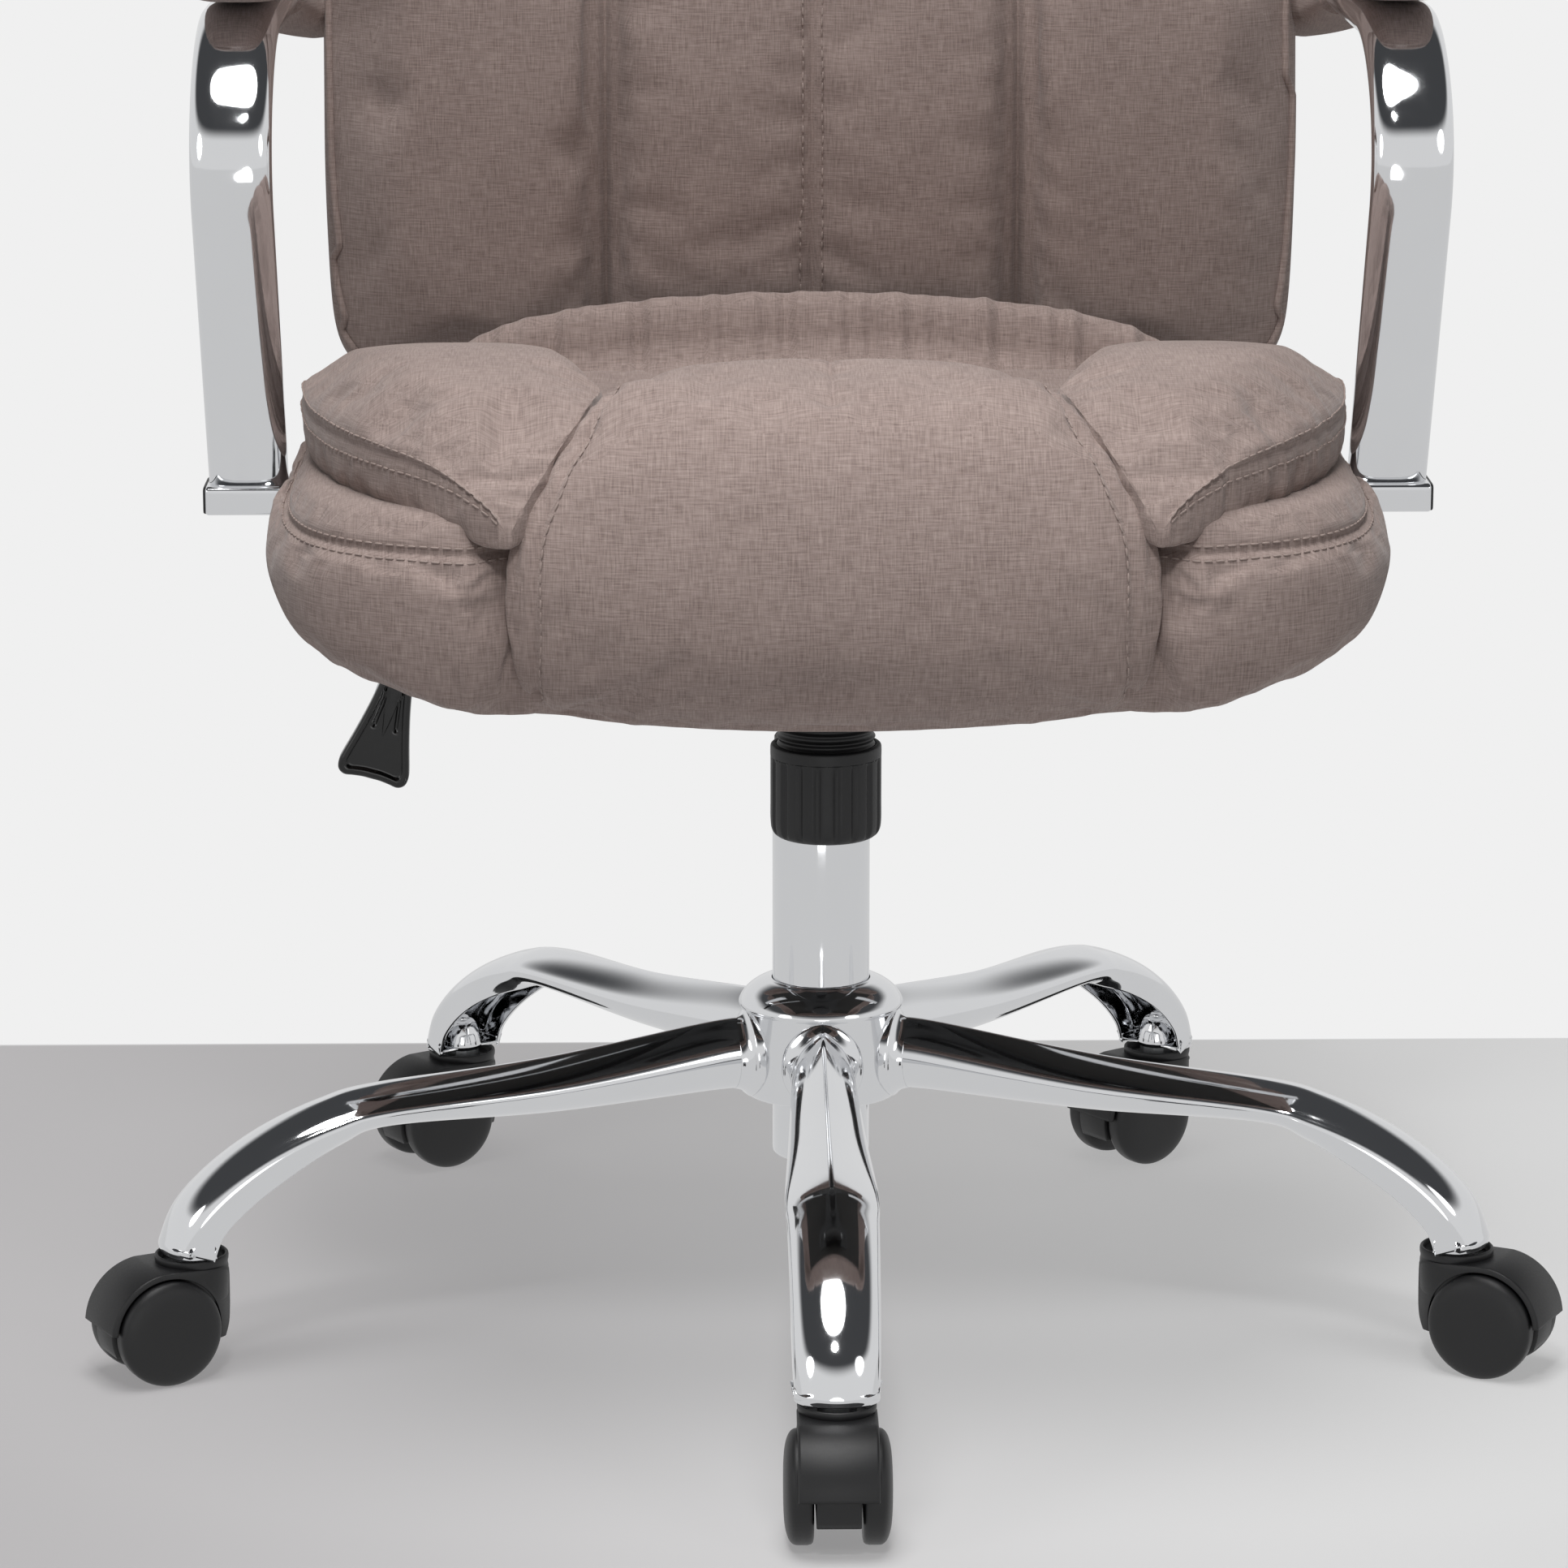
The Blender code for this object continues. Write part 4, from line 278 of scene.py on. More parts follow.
def mesh_of(name, *grids):
    """One smooth mesh of several grids, each turned to face outwards by its volume."""
    vertices, faces, start = [], [], 0
    for points, quads, caps in grids:
        corner = (points - points.mean(axis=0))[quads]
        turn = np.einsum("ij,ij->i", corner[:, 0], np.cross(corner[:, 1], corner[:, 2]))
        turn = turn + np.einsum("ij,ij->i", corner[:, 0], np.cross(corner[:, 2], corner[:, 3]))
        way = 1 if turn.sum() >= 0.0 else -1
        vertices.append(points)
        faces += (quads[:, ::way] + start).tolist()
        faces += [(cap[::way] + start).tolist() for cap in caps]
        start += len(points)
    mesh = bpy.data.meshes.new(name)
    mesh.from_pydata(np.concatenate(vertices).tolist(), [], faces)
    mesh.polygons.foreach_set("use_smooth", np.ones(len(mesh.polygons), bool))
    mesh.update()
    return mesh


def points_of(mesh):
    values = np.empty(len(mesh.vertices) * 3)
    mesh.vertices.foreach_get("co", values)
    return values.reshape(-1, 3)


def put_points(mesh, points):
    mesh.vertices.foreach_set("co", np.ascontiguousarray(points).reshape(-1))
    mesh.update()


def normals_of(mesh):
    values = np.empty(len(mesh.vertices) * 3)
    mesh.vertex_normals.foreach_get("vector", values)
    return values.reshape(-1, 3)


def surface_of(thing, shape):
    """Points and normals of a cover, in the rows and columns that it was made from."""
    return points_of(thing.data).reshape(shape), normals_of(thing.data).reshape(shape)


def lay_weave(mesh):
    """UV map in metres: each face takes the two axes that it faces least."""
    normal = np.empty(len(mesh.polygons) * 3)
    mesh.polygons.foreach_get("normal", normal)
    total = np.empty(len(mesh.polygons), np.int32)
    mesh.polygons.foreach_get("loop_total", total)
    vertex = np.empty(len(mesh.loops), np.int32)
    mesh.loops.foreach_get("vertex_index", vertex)
    axis = np.repeat(np.abs(normal.reshape(-1, 3)).argmax(axis=1), total)
    place = points_of(mesh)[vertex]
    u = np.where(axis == 0, place[:, 1], place[:, 0])
    v = np.where(axis == 2, place[:, 1], place[:, 2])
    layer = mesh.uv_layers.new(name="weave")
    layer.data.foreach_set("uv", np.stack((u, v), axis=-1).astype(np.float32).reshape(-1))


# Pieces

def add_object(name, mesh, material):
    thing = bpy.data.objects.new(name, mesh)
    bpy.context.scene.collection.objects.link(thing)
    mesh.materials.append(material)
    return thing


def settle(thing, body, hides=()):
    """Puts a finished piece on its CAD body, in place of the CAD nodes it hides."""
    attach(thing, body)
    if hides:
        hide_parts(*hides)


def add_piece(name, grids, body, slot, hides=()):
    """A piece made of grids, in the material of its slot."""
    mesh = mesh_of(name, *grids)
    if slot == WOVEN:
        lay_weave(mesh)
    settle(add_object(name, mesh, finish(slot)), body, hides)


def add_pad(name, points):
    """A cover of closed sections, sewn across at both ends."""
    return add_object(name, mesh_of(name, grid(points, around=True, ends=("sewn", "sewn"))), finish(WOVEN))


CLOTH_FRAMES = 20
CLOTH_SETTINGS = {
    "quality": 4, "tension_stiffness": 20.0, "compression_stiffness": 20.0, "shear_stiffness": 8.0,
    "bending_stiffness": 0.6, "use_pressure": True, "uniform_pressure_force": 4.0,
}


def swell(thing, held, cap, slack=0.02, share=1.0):
    """Cloth simulation of a stuffed cover: held points stay, the rest swells by at most cap times its share."""
    scene = bpy.context.scene
    start = points_of(thing.data)
    group = thing.vertex_groups.new(name="held")
    group.add(np.flatnonzero(held).tolist(), 1.0, "REPLACE")
    cloth = thing.modifiers.new("Swell", "CLOTH")
    cloth.settings.vertex_group_mass = group.name
    for key, value in CLOTH_SETTINGS.items():
        setattr(cloth.settings, key, value)
    cloth.settings.shrink_min = -slack
    cloth.settings.effector_weights.gravity = 0.0
    cloth.point_cache.frame_start = 1
    cloth.point_cache.frame_end = CLOTH_FRAMES
    for step in range(1, CLOTH_FRAMES + 1):
        scene.frame_set(step)
    shape = thing.evaluated_get(bpy.context.evaluated_depsgraph_get())
    move = points_of(shape.data) - start
    thing.modifiers.remove(cloth)
    thing.vertex_groups.remove(group)
    scene.frame_set(1)
    length = np.linalg.norm(move, axis=1, keepdims=True)
    limit = np.minimum(1.0, cap / np.maximum(length, 1e-9))
    put_points(thing.data, start + move * limit * np.reshape(share, (-1, 1)))


def press(thing, depth):
    """Moves points inwards along their normals, as a seam pulls a cover in."""
    mesh = thing.data
    put_points(mesh, points_of(mesh) - normals_of(mesh) * np.asarray(depth).reshape(-1, 1))


def finish_pad(thing, hides=()):
    """Weave, smoothing and place of a padded cover, which tilts with the seat."""
    lay_weave(thing.data)
    smooth = thing.modifiers.new("Smooth", "SUBSURF")
    smooth.levels = smooth.render_levels = 1
    settle(thing, "tilt", hides)


PAD_SAMPLES = 721
PAD_PLACES = 2000


def pad_round(upper, lower, flat, count):
    """Round of a pad's section: two half superellipses about its seam, as (across, up).

    Across goes with the cosine and up with the sine of the turn, both raised to
    2 / roundness. Points lie close at the seam, which is at columns 0 and count / 2.
    """
    halves = []
    for roundness, start in ((upper, 0.0), (lower, np.pi)):
        turn = start + np.linspace(0.0, np.pi, PAD_SAMPLES)
        line = np.stack((flat * power(np.cos(turn), 2.0 / roundness), power(np.sin(turn), 2.0 / roundness)), axis=-1)
        even = evened(line, PAD_PLACES)
        share = np.linspace(0.0, 1.0, count // 2 + 1)
        at = (0.3 * share + 0.7 * (1.0 - np.cos(np.pi * share)) / 2.0) * (PAD_PLACES - 1.0)
        halves.append(even[np.round(at).astype(int)[:-1]])
    line = np.concatenate(halves)
    return line[:, 0] / flat, line[:, 1]


def pad_sections(along, left, right, low, middle, high, around):
    """Closed sections across X at each place along Y: their round scaled to the pad's edges and heights."""
    c, s = around[0][None, :], around[1][None, :]
    column = [np.broadcast_to(np.asarray(v, float), along.shape)[:, None] for v in (left, right, low, middle, high)]
    left, right, low, middle, high = column
    x = (left + right) / 2.0 + (right - left) / 2.0 * c
    z = middle + np.where(s > 0.0, high - middle, middle - low) * s
    return np.stack((x, np.broadcast_to(along[:, None], x.shape), z), axis=-1)


def stitch_rows(name, lines, outward):
    """Rows of thread: each stitch is a six-sided spindle laid along its line."""
    sizes = bpy.context.scene.chair_sizes
    share = np.array((-0.5, -0.36, 0.0, 0.36, 0.5)) * sizes.stitch
    thick = np.array((0.35, 0.9, 1.0, 0.9, 0.35)) * sizes.thread
    circle = ring(1.0, 6)
    grids = []
    for line in lines:
        length = np.linalg.norm(np.diff(line, axis=0), axis=1).sum()
        count = max(2, int(length / (sizes.stitch + sizes.stitch_gap)))
        at = evened(line, 2 * count + 1)
        ahead = unit(at[2::2] - at[:-2:2])
        across = unit(np.cross(ahead, np.asarray(outward, float)))
        out = np.cross(across, ahead)
        middle = at[1::2]
        spine = middle[:, None] + ahead[:, None] * share[None, :, None]
        around = across[:, None] * circle[None, :, :1] + out[:, None] * circle[None, :, 1:]
        points = spine[:, :, None] + around[:, None] * thick[None, :, None, None]
        base, quads, _ = grid(points[0], around=True)
        lids = np.array(((0, 3, 2, 1), (0, 5, 4, 3), (24, 25, 26, 27), (24, 27, 28, 29)))
        quads = np.concatenate((quads, lids))
        shifted = (quads[None] + len(base) * np.arange(count)[:, None, None]).reshape(-1, 4)
        grids.append((points.reshape(-1, 3), shifted, []))
    settle(add_object(name, mesh_of(name, *grids), finish("sewing_thread")), "tilt")


def piped(name, line, reference, radius=None):
    """Corded seam: a circle carried along a closed line."""
    radius = radius or bpy.context.scene.chair_sizes.piping
    cord = grid(swept(line, ring(radius, 10), reference, closed=True), around=True, joined=True)
    add_piece(name, [cord], "tilt", WOVEN)


# Materials

def add_node(tree, kind, inputs=None, **settings):
    """Adds a node, sets its attributes, and links or sets its inputs."""
    node = tree.nodes.new(kind)
    for key, value in settings.items():
        setattr(node, key, value)
    for key, value in (inputs or {}).items():
        if isinstance(value, bpy.types.NodeSocket):
            tree.links.new(value, node.inputs[key])
        else:
            node.inputs[key].default_value = value
    return node


def new_material(name):
    material = bpy.data.materials.get(name)
    if material:
        return material, None, None
    material = bpy.data.materials.new(name)
    material.use_nodes = True
    tree = material.node_tree
    return material, tree, tree.nodes["Principled BSDF"]


def rgba(value):
    return (*value, 1.0)


def linen_cloth():
    """Woven linen-look polyester: slubbed yarns both ways, dull with a faint sheen.

    Real yarns are about 0.5 mm apart; they are drawn coarser, so that they show.
    """
    material, tree, shader = new_material("linen_look_polyester")
    if tree is None:
        return material
    sizes, colours = bpy.context.scene.chair_sizes, bpy.context.scene.chair_colours
    uv = add_node(tree, "ShaderNodeUVMap", uv_map="weave").outputs["UV"]
    fine, long = 1.0 / sizes.weave, 1.0 / sizes.slub
    yarns = []
    for scale in ((fine, long, 1.0), (long, fine, 1.0)):
        mapped = add_node(tree, "ShaderNodeMapping", {"Vector": uv, "Scale": scale})
        noise = add_node(tree, "ShaderNodeTexNoise", {
            "Vector": mapped.outputs["Vector"], "Scale": 1.0, "Detail": 2.5, "Roughness": 0.6})
        yarns.append(noise.outputs["Fac"])
    total = add_node(tree, "ShaderNodeMath", {0: yarns[0], 1: yarns[1]}, operation="ADD")
    patch = add_node(tree, "ShaderNodeTexNoise", {"Vector": uv, "Scale": 22.0, "Detail": 3.0})
    patch = add_node(tree, "ShaderNodeMath", {
        0: patch.outputs["Fac"], 1: 0.30, 2: total.outputs[0]}, operation="MULTIPLY_ADD")
    share = add_node(tree, "ShaderNodeMapRange", {
        "Value": patch.outputs[0], "From Min": 0.70, "From Max": 1.60})
    mix = add_node(tree, "ShaderNodeMix", {
        0: share.outputs["Result"], 6: rgba(colours.cloth_dark), 7: rgba(colours.cloth_light)}, data_type="RGBA")
    bump = add_node(tree, "ShaderNodeBump", {
        "Height": total.outputs[0], "Strength": 0.35, "Distance": 0.0006})
    tree.links.new(mix.outputs[2], shader.inputs["Base Color"])
    tree.links.new(bump.outputs["Normal"], shader.inputs["Normal"])
    shader.inputs["Roughness"].default_value = 0.92
    shader.inputs["Specular IOR Level"].default_value = 0.25
    shader.inputs["Sheen Weight"].default_value = 0.18
    shader.inputs["Sheen Roughness"].default_value = 0.5
    return material


def surface_material(name, tint, rough, metallic, grain_mm, depth_mm, vary=0.08, stretch=(1.0, 1.0, 1.0),
                     mottle=0.12):
    """A solid surface: fine grain as bump and roughness, and a slight change of shade."""
    material, tree, shader = new_material(name)
    if tree is None:
        return material
    place = add_node(tree, "ShaderNodeTexCoord").outputs["Object"]
    mapped = add_node(tree, "ShaderNodeMapping", {"Vector": place, "Scale": stretch})
    grain = add_node(tree, "ShaderNodeTexNoise", {
        "Vector": mapped.outputs["Vector"], "Scale": 1000.0 / grain_mm, "Detail": 3.0, "Roughness": 0.55})
    shade = add_node(tree, "ShaderNodeTexNoise", {"Vector": mapped.outputs["Vector"], "Scale": 26.0, "Detail": 4.0})
    dark = rgba(np.array(tint) * (1.0 - mottle))
    mix = add_node(tree, "ShaderNodeMix", {0: shade.outputs["Fac"], 6: dark, 7: rgba(tint)}, data_type="RGBA")
    gloss = add_node(tree, "ShaderNodeMapRange", {
        "Value": grain.outputs["Fac"], "To Min": max(0.02, rough - vary), "To Max": rough + vary})
    bump = add_node(tree, "ShaderNodeBump", {
        "Height": grain.outputs["Fac"], "Strength": 0.5, "Distance": depth_mm / 1000.0})
    tree.links.new(mix.outputs[2], shader.inputs["Base Color"])
    tree.links.new(gloss.outputs["Result"], shader.inputs["Roughness"])
    tree.links.new(bump.outputs["Normal"], shader.inputs["Normal"])
    shader.inputs["Metallic"].default_value = metallic
    return material


# Each finish: the material's name, its colour, roughness, metallic, the width and depth of its grain in mm
FINISHES = {
    # Bright chrome on polished steel: a near mirror with the faintest polishing haze
    "chrome_plate": ("chrome_plated_steel", "chrome", 0.07, 1.0, 6.0, 0.002, {"vary": 0.03, "mottle": 0.03}),
    # Black glass-filled nylon from a spark-eroded mould: dull, finely pitted
    "moulded_plastic": ("moulded_black_nylon", "plastic", 0.48, 0.0, 0.9, 0.05, {"mottle": 0.2}),
    # Black ABS from a polished mould: glossy, with a soft ripple
    "polished_plastic": ("polished_black_abs", "paddle", 0.16, 0.0, 5.0, 0.02, {"vary": 0.04}),
    # Black powder coat on pressed steel: satin, with an orange-peel ripple
    "painted_steel": ("powder_coated_steel", "paint", 0.42, 0.0, 1.6, 0.06, {}),
    # Turned and oiled steel: bright bands round its axis
    "turned_steel": ("turned_steel", "steel", 0.26, 1.0, 3.0, 0.01, {"stretch": (0.1, 0.1, 3.0), "vary": 0.1}),
    # Birch plywood stained black: dull, with long grain across the board
    "plywood": ("black_stained_plywood", "ply", 0.66, 0.0, 4.0, 0.08, {"stretch": (0.06, 1.0, 1.0), "mottle": 0.35}),
    # Twisted polyester thread: soft sheen, a shade lighter than the cloth
    "sewing_thread": ("polyester_thread", "thread", 0.7, 0.0, 0.6, 0.1, {}),
}


def finish(slot):
    """The material of a slot."""
    if slot == WOVEN:
        return linen_cloth()
    name, tint, *numbers, more = FINISHES[slot]
    return surface_material(name, getattr(bpy.context.scene.chair_colours, tint), *numbers, **more)


# Seat

SEAT_SQUARENESS = 4.4
PANEL_SIDE_X = 0.155


def seat_plan(count):
    """Seat outline from above, evenly spaced from the rear middle, closer at the middle panel's seams.

    A superellipse: x goes with the sine and y with the cosine of the turn, both
    raised to 2 / squareness; the sides draw in a little towards the rear, and the front is
    set back behind the middle panel.
    """
    sizes = bpy.context.scene.chair_sizes
    turn = np.linspace(0.0, TURN, 2880, endpoint=False)
    middle = (sizes.seat_front + sizes.seat_rear) / 2.0
    half = (sizes.seat_rear - sizes.seat_front) / 2.0
    y = middle + half * power(np.cos(turn), 2.0 / SEAT_SQUARENESS)
    narrow = 1.0 - 0.03 * ease((y - middle) / half)
    x = sizes.seat_half_width * power(np.sin(turn), 2.0 / SEAT_SQUARENESS) * narrow
    front = ease((-0.19 - y) / 0.05)
    weight = 1.0 + 3.0 * bell(np.abs(x) - PANEL_SIDE_X, 0.014) * front
    y = y + 0.016 * ease((0.173 - np.abs(x)) / 0.026) * front
    return evened(np.stack((x, y), axis=-1), count, closed=True, weight=weight)


def seat_floor(plan):
    """Height of the cushion's underside: level, then rolled down to the front lip."""
    front = ease((-0.05 - plan[:, 1]) / 0.17)
    across = np.clip(np.abs(plan[:, 0]) / 0.2725, 0.0, 1.0)
    return BOARD_UNDERSIDE + 0.002 - front * (0.065 - 0.014 * across ** 2 - 0.016 * across ** 4)


BASE_STEPS = 5
BASE_SEAM_ROW = 10


def make_seat_base():
    """Lower body of the seat: control rows set in from its outline, at shares of its height."""
    sizes = bpy.context.scene.chair_sizes
    plan = seat_plan(288)
    floor, seam = seat_floor(plan), sizes.band_seam
    tangent = np.roll(plan, -1, axis=0) - np.roll(plan, 1, axis=0)
    inward = unit(np.stack((tangent[:, 1], -tangent[:, 0]), axis=-1))
    centre = np.array((0.0, (plan[:, 1].min() + plan[:, 1].max()) / 2.0))
    inward = inward * np.sign(np.sum(inward * (centre - plan), axis=1))[:, None]
    # Averaged along the outline, so that the rows don't cross at the middle panel's sides
    inward = unit(sum(np.roll(inward, step, axis=0) for step in range(-8, 9)))

    def row(inset, height):
        flat = plan + inward * inset
        return np.column_stack((flat, np.broadcast_to(height, len(plan))))

    def core(share, height):
        flat = centre + (plan - centre) * share
        return np.column_stack((flat, np.broadcast_to(height, len(plan))))

    rise = seam - floor
    rows = [
        core(0.40, 0.4310), core(0.72, 0.4310), row(0.050, 0.4290), row(0.034, floor + 0.10 * rise),
        row(0.020, floor), row(0.008, floor + 0.09 * rise), row(0.0012, floor + 0.32 * rise),
        row(0.0, floor + 0.62 * rise), row(0.0015, floor + 0.82 * rise), row(0.0045, floor + 0.92 * rise),
        row(0.0085, seam), row(0.0108, seam + 0.0070), row(0.0145, seam + 0.0130), row(0.0300, seam + 0.0175),
        core(0.72, seam + 0.0130), core(0.40, seam + 0.0130),
    ]
    points = skinned(np.stack(rows), BASE_STEPS)
    thing = add_pad("seat_base", points)
    row_at = np.repeat(np.arange(points.shape[0]), points.shape[1])
    seam_row = BASE_SEAM_ROW * BASE_STEPS
    held = (row_at < 4 * BASE_STEPS) | (row_at > 12 * BASE_STEPS) | (row_at == seam_row)
    swell(thing, held, 0.004, share=ease((np.abs(row_at - seam_row) - 1.0) / 6.0))
    press(thing, 0.0016 * bell(row_at - seam_row, 0.9))
    shape, out = surface_of(thing, points.shape)
    finish_pad(thing, hides=("seat_cushion",))
    lines = [shape[seam_row + k] + out[seam_row + k] * STITCH_LIFT for k in (-3, 2)]
    lines = [np.concatenate((line, line[:1])) for line in lines]
    stitch_rows("seat_base_stitches", lines, (0.0, 0.0, 1.0))


# Middle panel from its rear end over the crest to the lip: Y, Z and half width
CENTRE_LINE = np.array((
    (0.100, 0.4720, 0.128), (0.040, 0.4705, 0.120), (-0.030, 0.4760, 0.113), (-0.090, 0.4900, 0.110),
    (-0.145, 0.5110, 0.108), (-0.188, 0.5245, 0.107), (-0.217, 0.5230, 0.112), (-0.240, 0.5060, 0.123),
    (-0.256, 0.4840, 0.136), (-0.2655, 0.4560, 0.1495), (-0.2695, 0.4270, 0.1525), (-0.2680, 0.3970, 0.1500),
    (-0.2590, 0.3710, 0.1455), (-0.2440, 0.3585, 0.1420), (-0.2300, 0.3570, 0.1400),
))
CENTRE_COLUMNS = 96
CENTRE_FOLD_ROW = 45


def centre_points():
    """Middle panel: x is the half width times t; the line is set in at its edges by powers of t."""
    line = skinned(CENTRE_LINE, 7)
    path, half = line[:, :2], line[:, 2]
    ahead = unit(np.gradient(path, axis=0))
    inward = np.stack((-ahead[:, 1], ahead[:, 0]), axis=-1)
    t = np.linspace(-1.0, 1.0, 2001)
    weight = 1.0 + 3.0 * bell(t, 0.03) + 3.0 * bell(np.abs(t) - 0.96, 0.08)
    t = evened(np.stack((t, 0.0 * t), axis=-1), CENTRE_COLUMNS, weight=weight)[:, 0]
    low = ease((0.400 - path[:, 1:]) / 0.04)
    tuck = (0.005 + 0.004 * low) * t ** 2 + 0.010 * np.abs(t) ** 14
    upper = path[:, None] + inward[:, None] * tuck[..., None]
    lower = path[:, None] + inward[:, None] * (0.021 + 0.003 * t[None, ::-1, None] ** 2)
    flat = np.concatenate((upper, lower), axis=1)
    x = half[:, None] * np.concatenate((t, 0.97 * t[::-1]))
    return np.concatenate((x[..., None], flat), axis=-1)


def make_seat_centre():
    """Middle panel: swelled between its edges, pressed in at its border seams, fold and middle seam."""
    points = centre_points()
    thing = add_pad("seat_centre_panel", points)
    rows, count = points.shape[:2]
    column = np.tile(np.arange(count), rows)
    row_at = np.repeat(np.arange(rows), count)
    held = (column >= CENTRE_COLUMNS - 1) | (column == 0) | (row_at < 3) | (row_at > rows - 4)
    swell(thing, held, 0.005)
    # Border seams run in from the edges, furthest midway down the front
    share = np.arange(rows) / (rows - 1)
    half = points[:, CENTRE_COLUMNS - 1, 0]
    border = 0.006 + 0.010 * bell(share - 0.68, 0.14) - 0.004 * ease((share - 0.8) / 0.15)
    x = points[..., 0].reshape(-1)
    seam = np.abs(x) - np.repeat(half - border, count)
    front = ease((row_at - 0.34 * rows) / 6.0)
    upper = column < CENTRE_COLUMNS
    fold = bell(row_at - CENTRE_FOLD_ROW, 0.9)
    middle = bell(x, 0.0016) * ease((CENTRE_FOLD_ROW + 1.0 - row_at) / 2.0) * ease((row_at - 22.0) / 6.0)
    press(thing, upper * (0.0022 * bell(seam, 0.0022) * front + 0.0010 * fold + 0.0014 * middle))
    shape, out = surface_of(thing, points.shape)
    finish_pad(thing)
    top = shape[:, :CENTRE_COLUMNS] + out[:, :CENTRE_COLUMNS] * STITCH_LIFT
    seen = np.arange(int(rows * 0.36), int(rows * 0.97))
    lines = []
    for way in (-1.0, 1.0):
        aim = way * (half - border - 0.0032)
        near = np.abs(points[:, :CENTRE_COLUMNS, 0] - aim[:, None]).argmin(axis=1)
        lines.append(skinned(top[seen, near[seen]][::4], 4))
    stitch_rows("seat_centre_stitches", lines, (1.0, 0.0, 0.0))


# Side pillow on the +X side, over Y: inner edge and its height, outer edge, crown
PILLOW_INNER = np.array((
    (-0.2635, 0.1495, 0.4575), (-0.2560, 0.1425, 0.4700), (-0.2400, 0.1290, 0.4900), (-0.2170, 0.1160, 0.5060),
    (-0.1880, 0.1100, 0.5100), (-0.1450, 0.1080, 0.5010), (-0.0900, 0.1100, 0.4840), (-0.0300, 0.1150, 0.4720),
    (0.0400, 0.1270, 0.4680), (0.1000, 0.1430, 0.4680), (0.1600, 0.1720, 0.4680), (0.1800, 0.2050, 0.4680),
))
PILLOW_OUTER = np.array((
    (-0.2635, 0.1520), (-0.2610, 0.1580), (-0.2530, 0.1700), (-0.2370, 0.1860), (-0.2110, 0.2095), (-0.1700, 0.2330),
    (-0.1180, 0.2495), (-0.0600, 0.2575), (-0.0080, 0.2605), (0.0600, 0.2585), (0.1200, 0.2490), (0.1600, 0.2330),
    (0.1800, 0.2100),
))
PILLOW_CROWN = np.array((
    (-0.2635, 0.0625), (-0.2580, 0.0510), (-0.2500, 0.0385), (-0.2360, 0.0225), (-0.2100, 0.0100), (-0.1700, 0.0030),
    (-0.1300, 0.0010), (-0.0800, 0.0065), (0.0000, 0.0190), (0.0800, 0.0330), (0.1400, 0.0430), (0.1700, 0.0490),
    (0.1800, 0.0520),
))
PILLOW_COLUMNS = 112
PILLOW_ROWS = 130


def pillow_points():
    """Side pillow: rounds between its edges, about a seam that climbs from its front tip to its outer side."""
    sizes = bpy.context.scene.chair_sizes
    u = np.linspace(-0.996, 0.996, PILLOW_ROWS)
    y = -0.04175 + 0.22125 * (0.5 * u + 0.5 * np.sin(u * np.pi / 2.0))
    rail, side, top = [evened(skinned(table, 12), 600) for table in (PILLOW_INNER, PILLOW_OUTER, PILLOW_CROWN)]
    inner, tuck = [np.interp(y, rail[:, 0], rail[:, k])[:, None] for k in (1, 2)]
    outer = np.interp(y, side[:, 0], side[:, 1])[:, None]
    crown = sizes.pillow_top - np.interp(y, top[:, 0], top[:, 1])[:, None]
    c, s = [part[None, :] for part in pad_round(2.35, 4.0, 3.5, PILLOW_COLUMNS)]
    # Squarer on its inner side
    s = np.where((c < 0.0) & (s > 0.0), power(1.0 - power(np.abs(c), 3.6), 1.0 / 3.6), s)
    x = (inner + outer) / 2.0 + (outer - inner) / 2.0 * c
    climb = 0.030 * (1.0 - np.exp(-np.maximum(x - 0.15, 0.0) / 0.02)) * ease((0.16 - y[:, None]) / 0.20)
    climb = 0.4575 + climb
    seam = tuck + (climb - tuck) * (c + 1.0) / 2.0
    z = seam + np.where(s > 0.0, np.maximum(crown - seam, 0.0006), seam - 0.4500) * s
    return np.stack((x, np.broadcast_to(y[:, None], x.shape), z), axis=-1), s


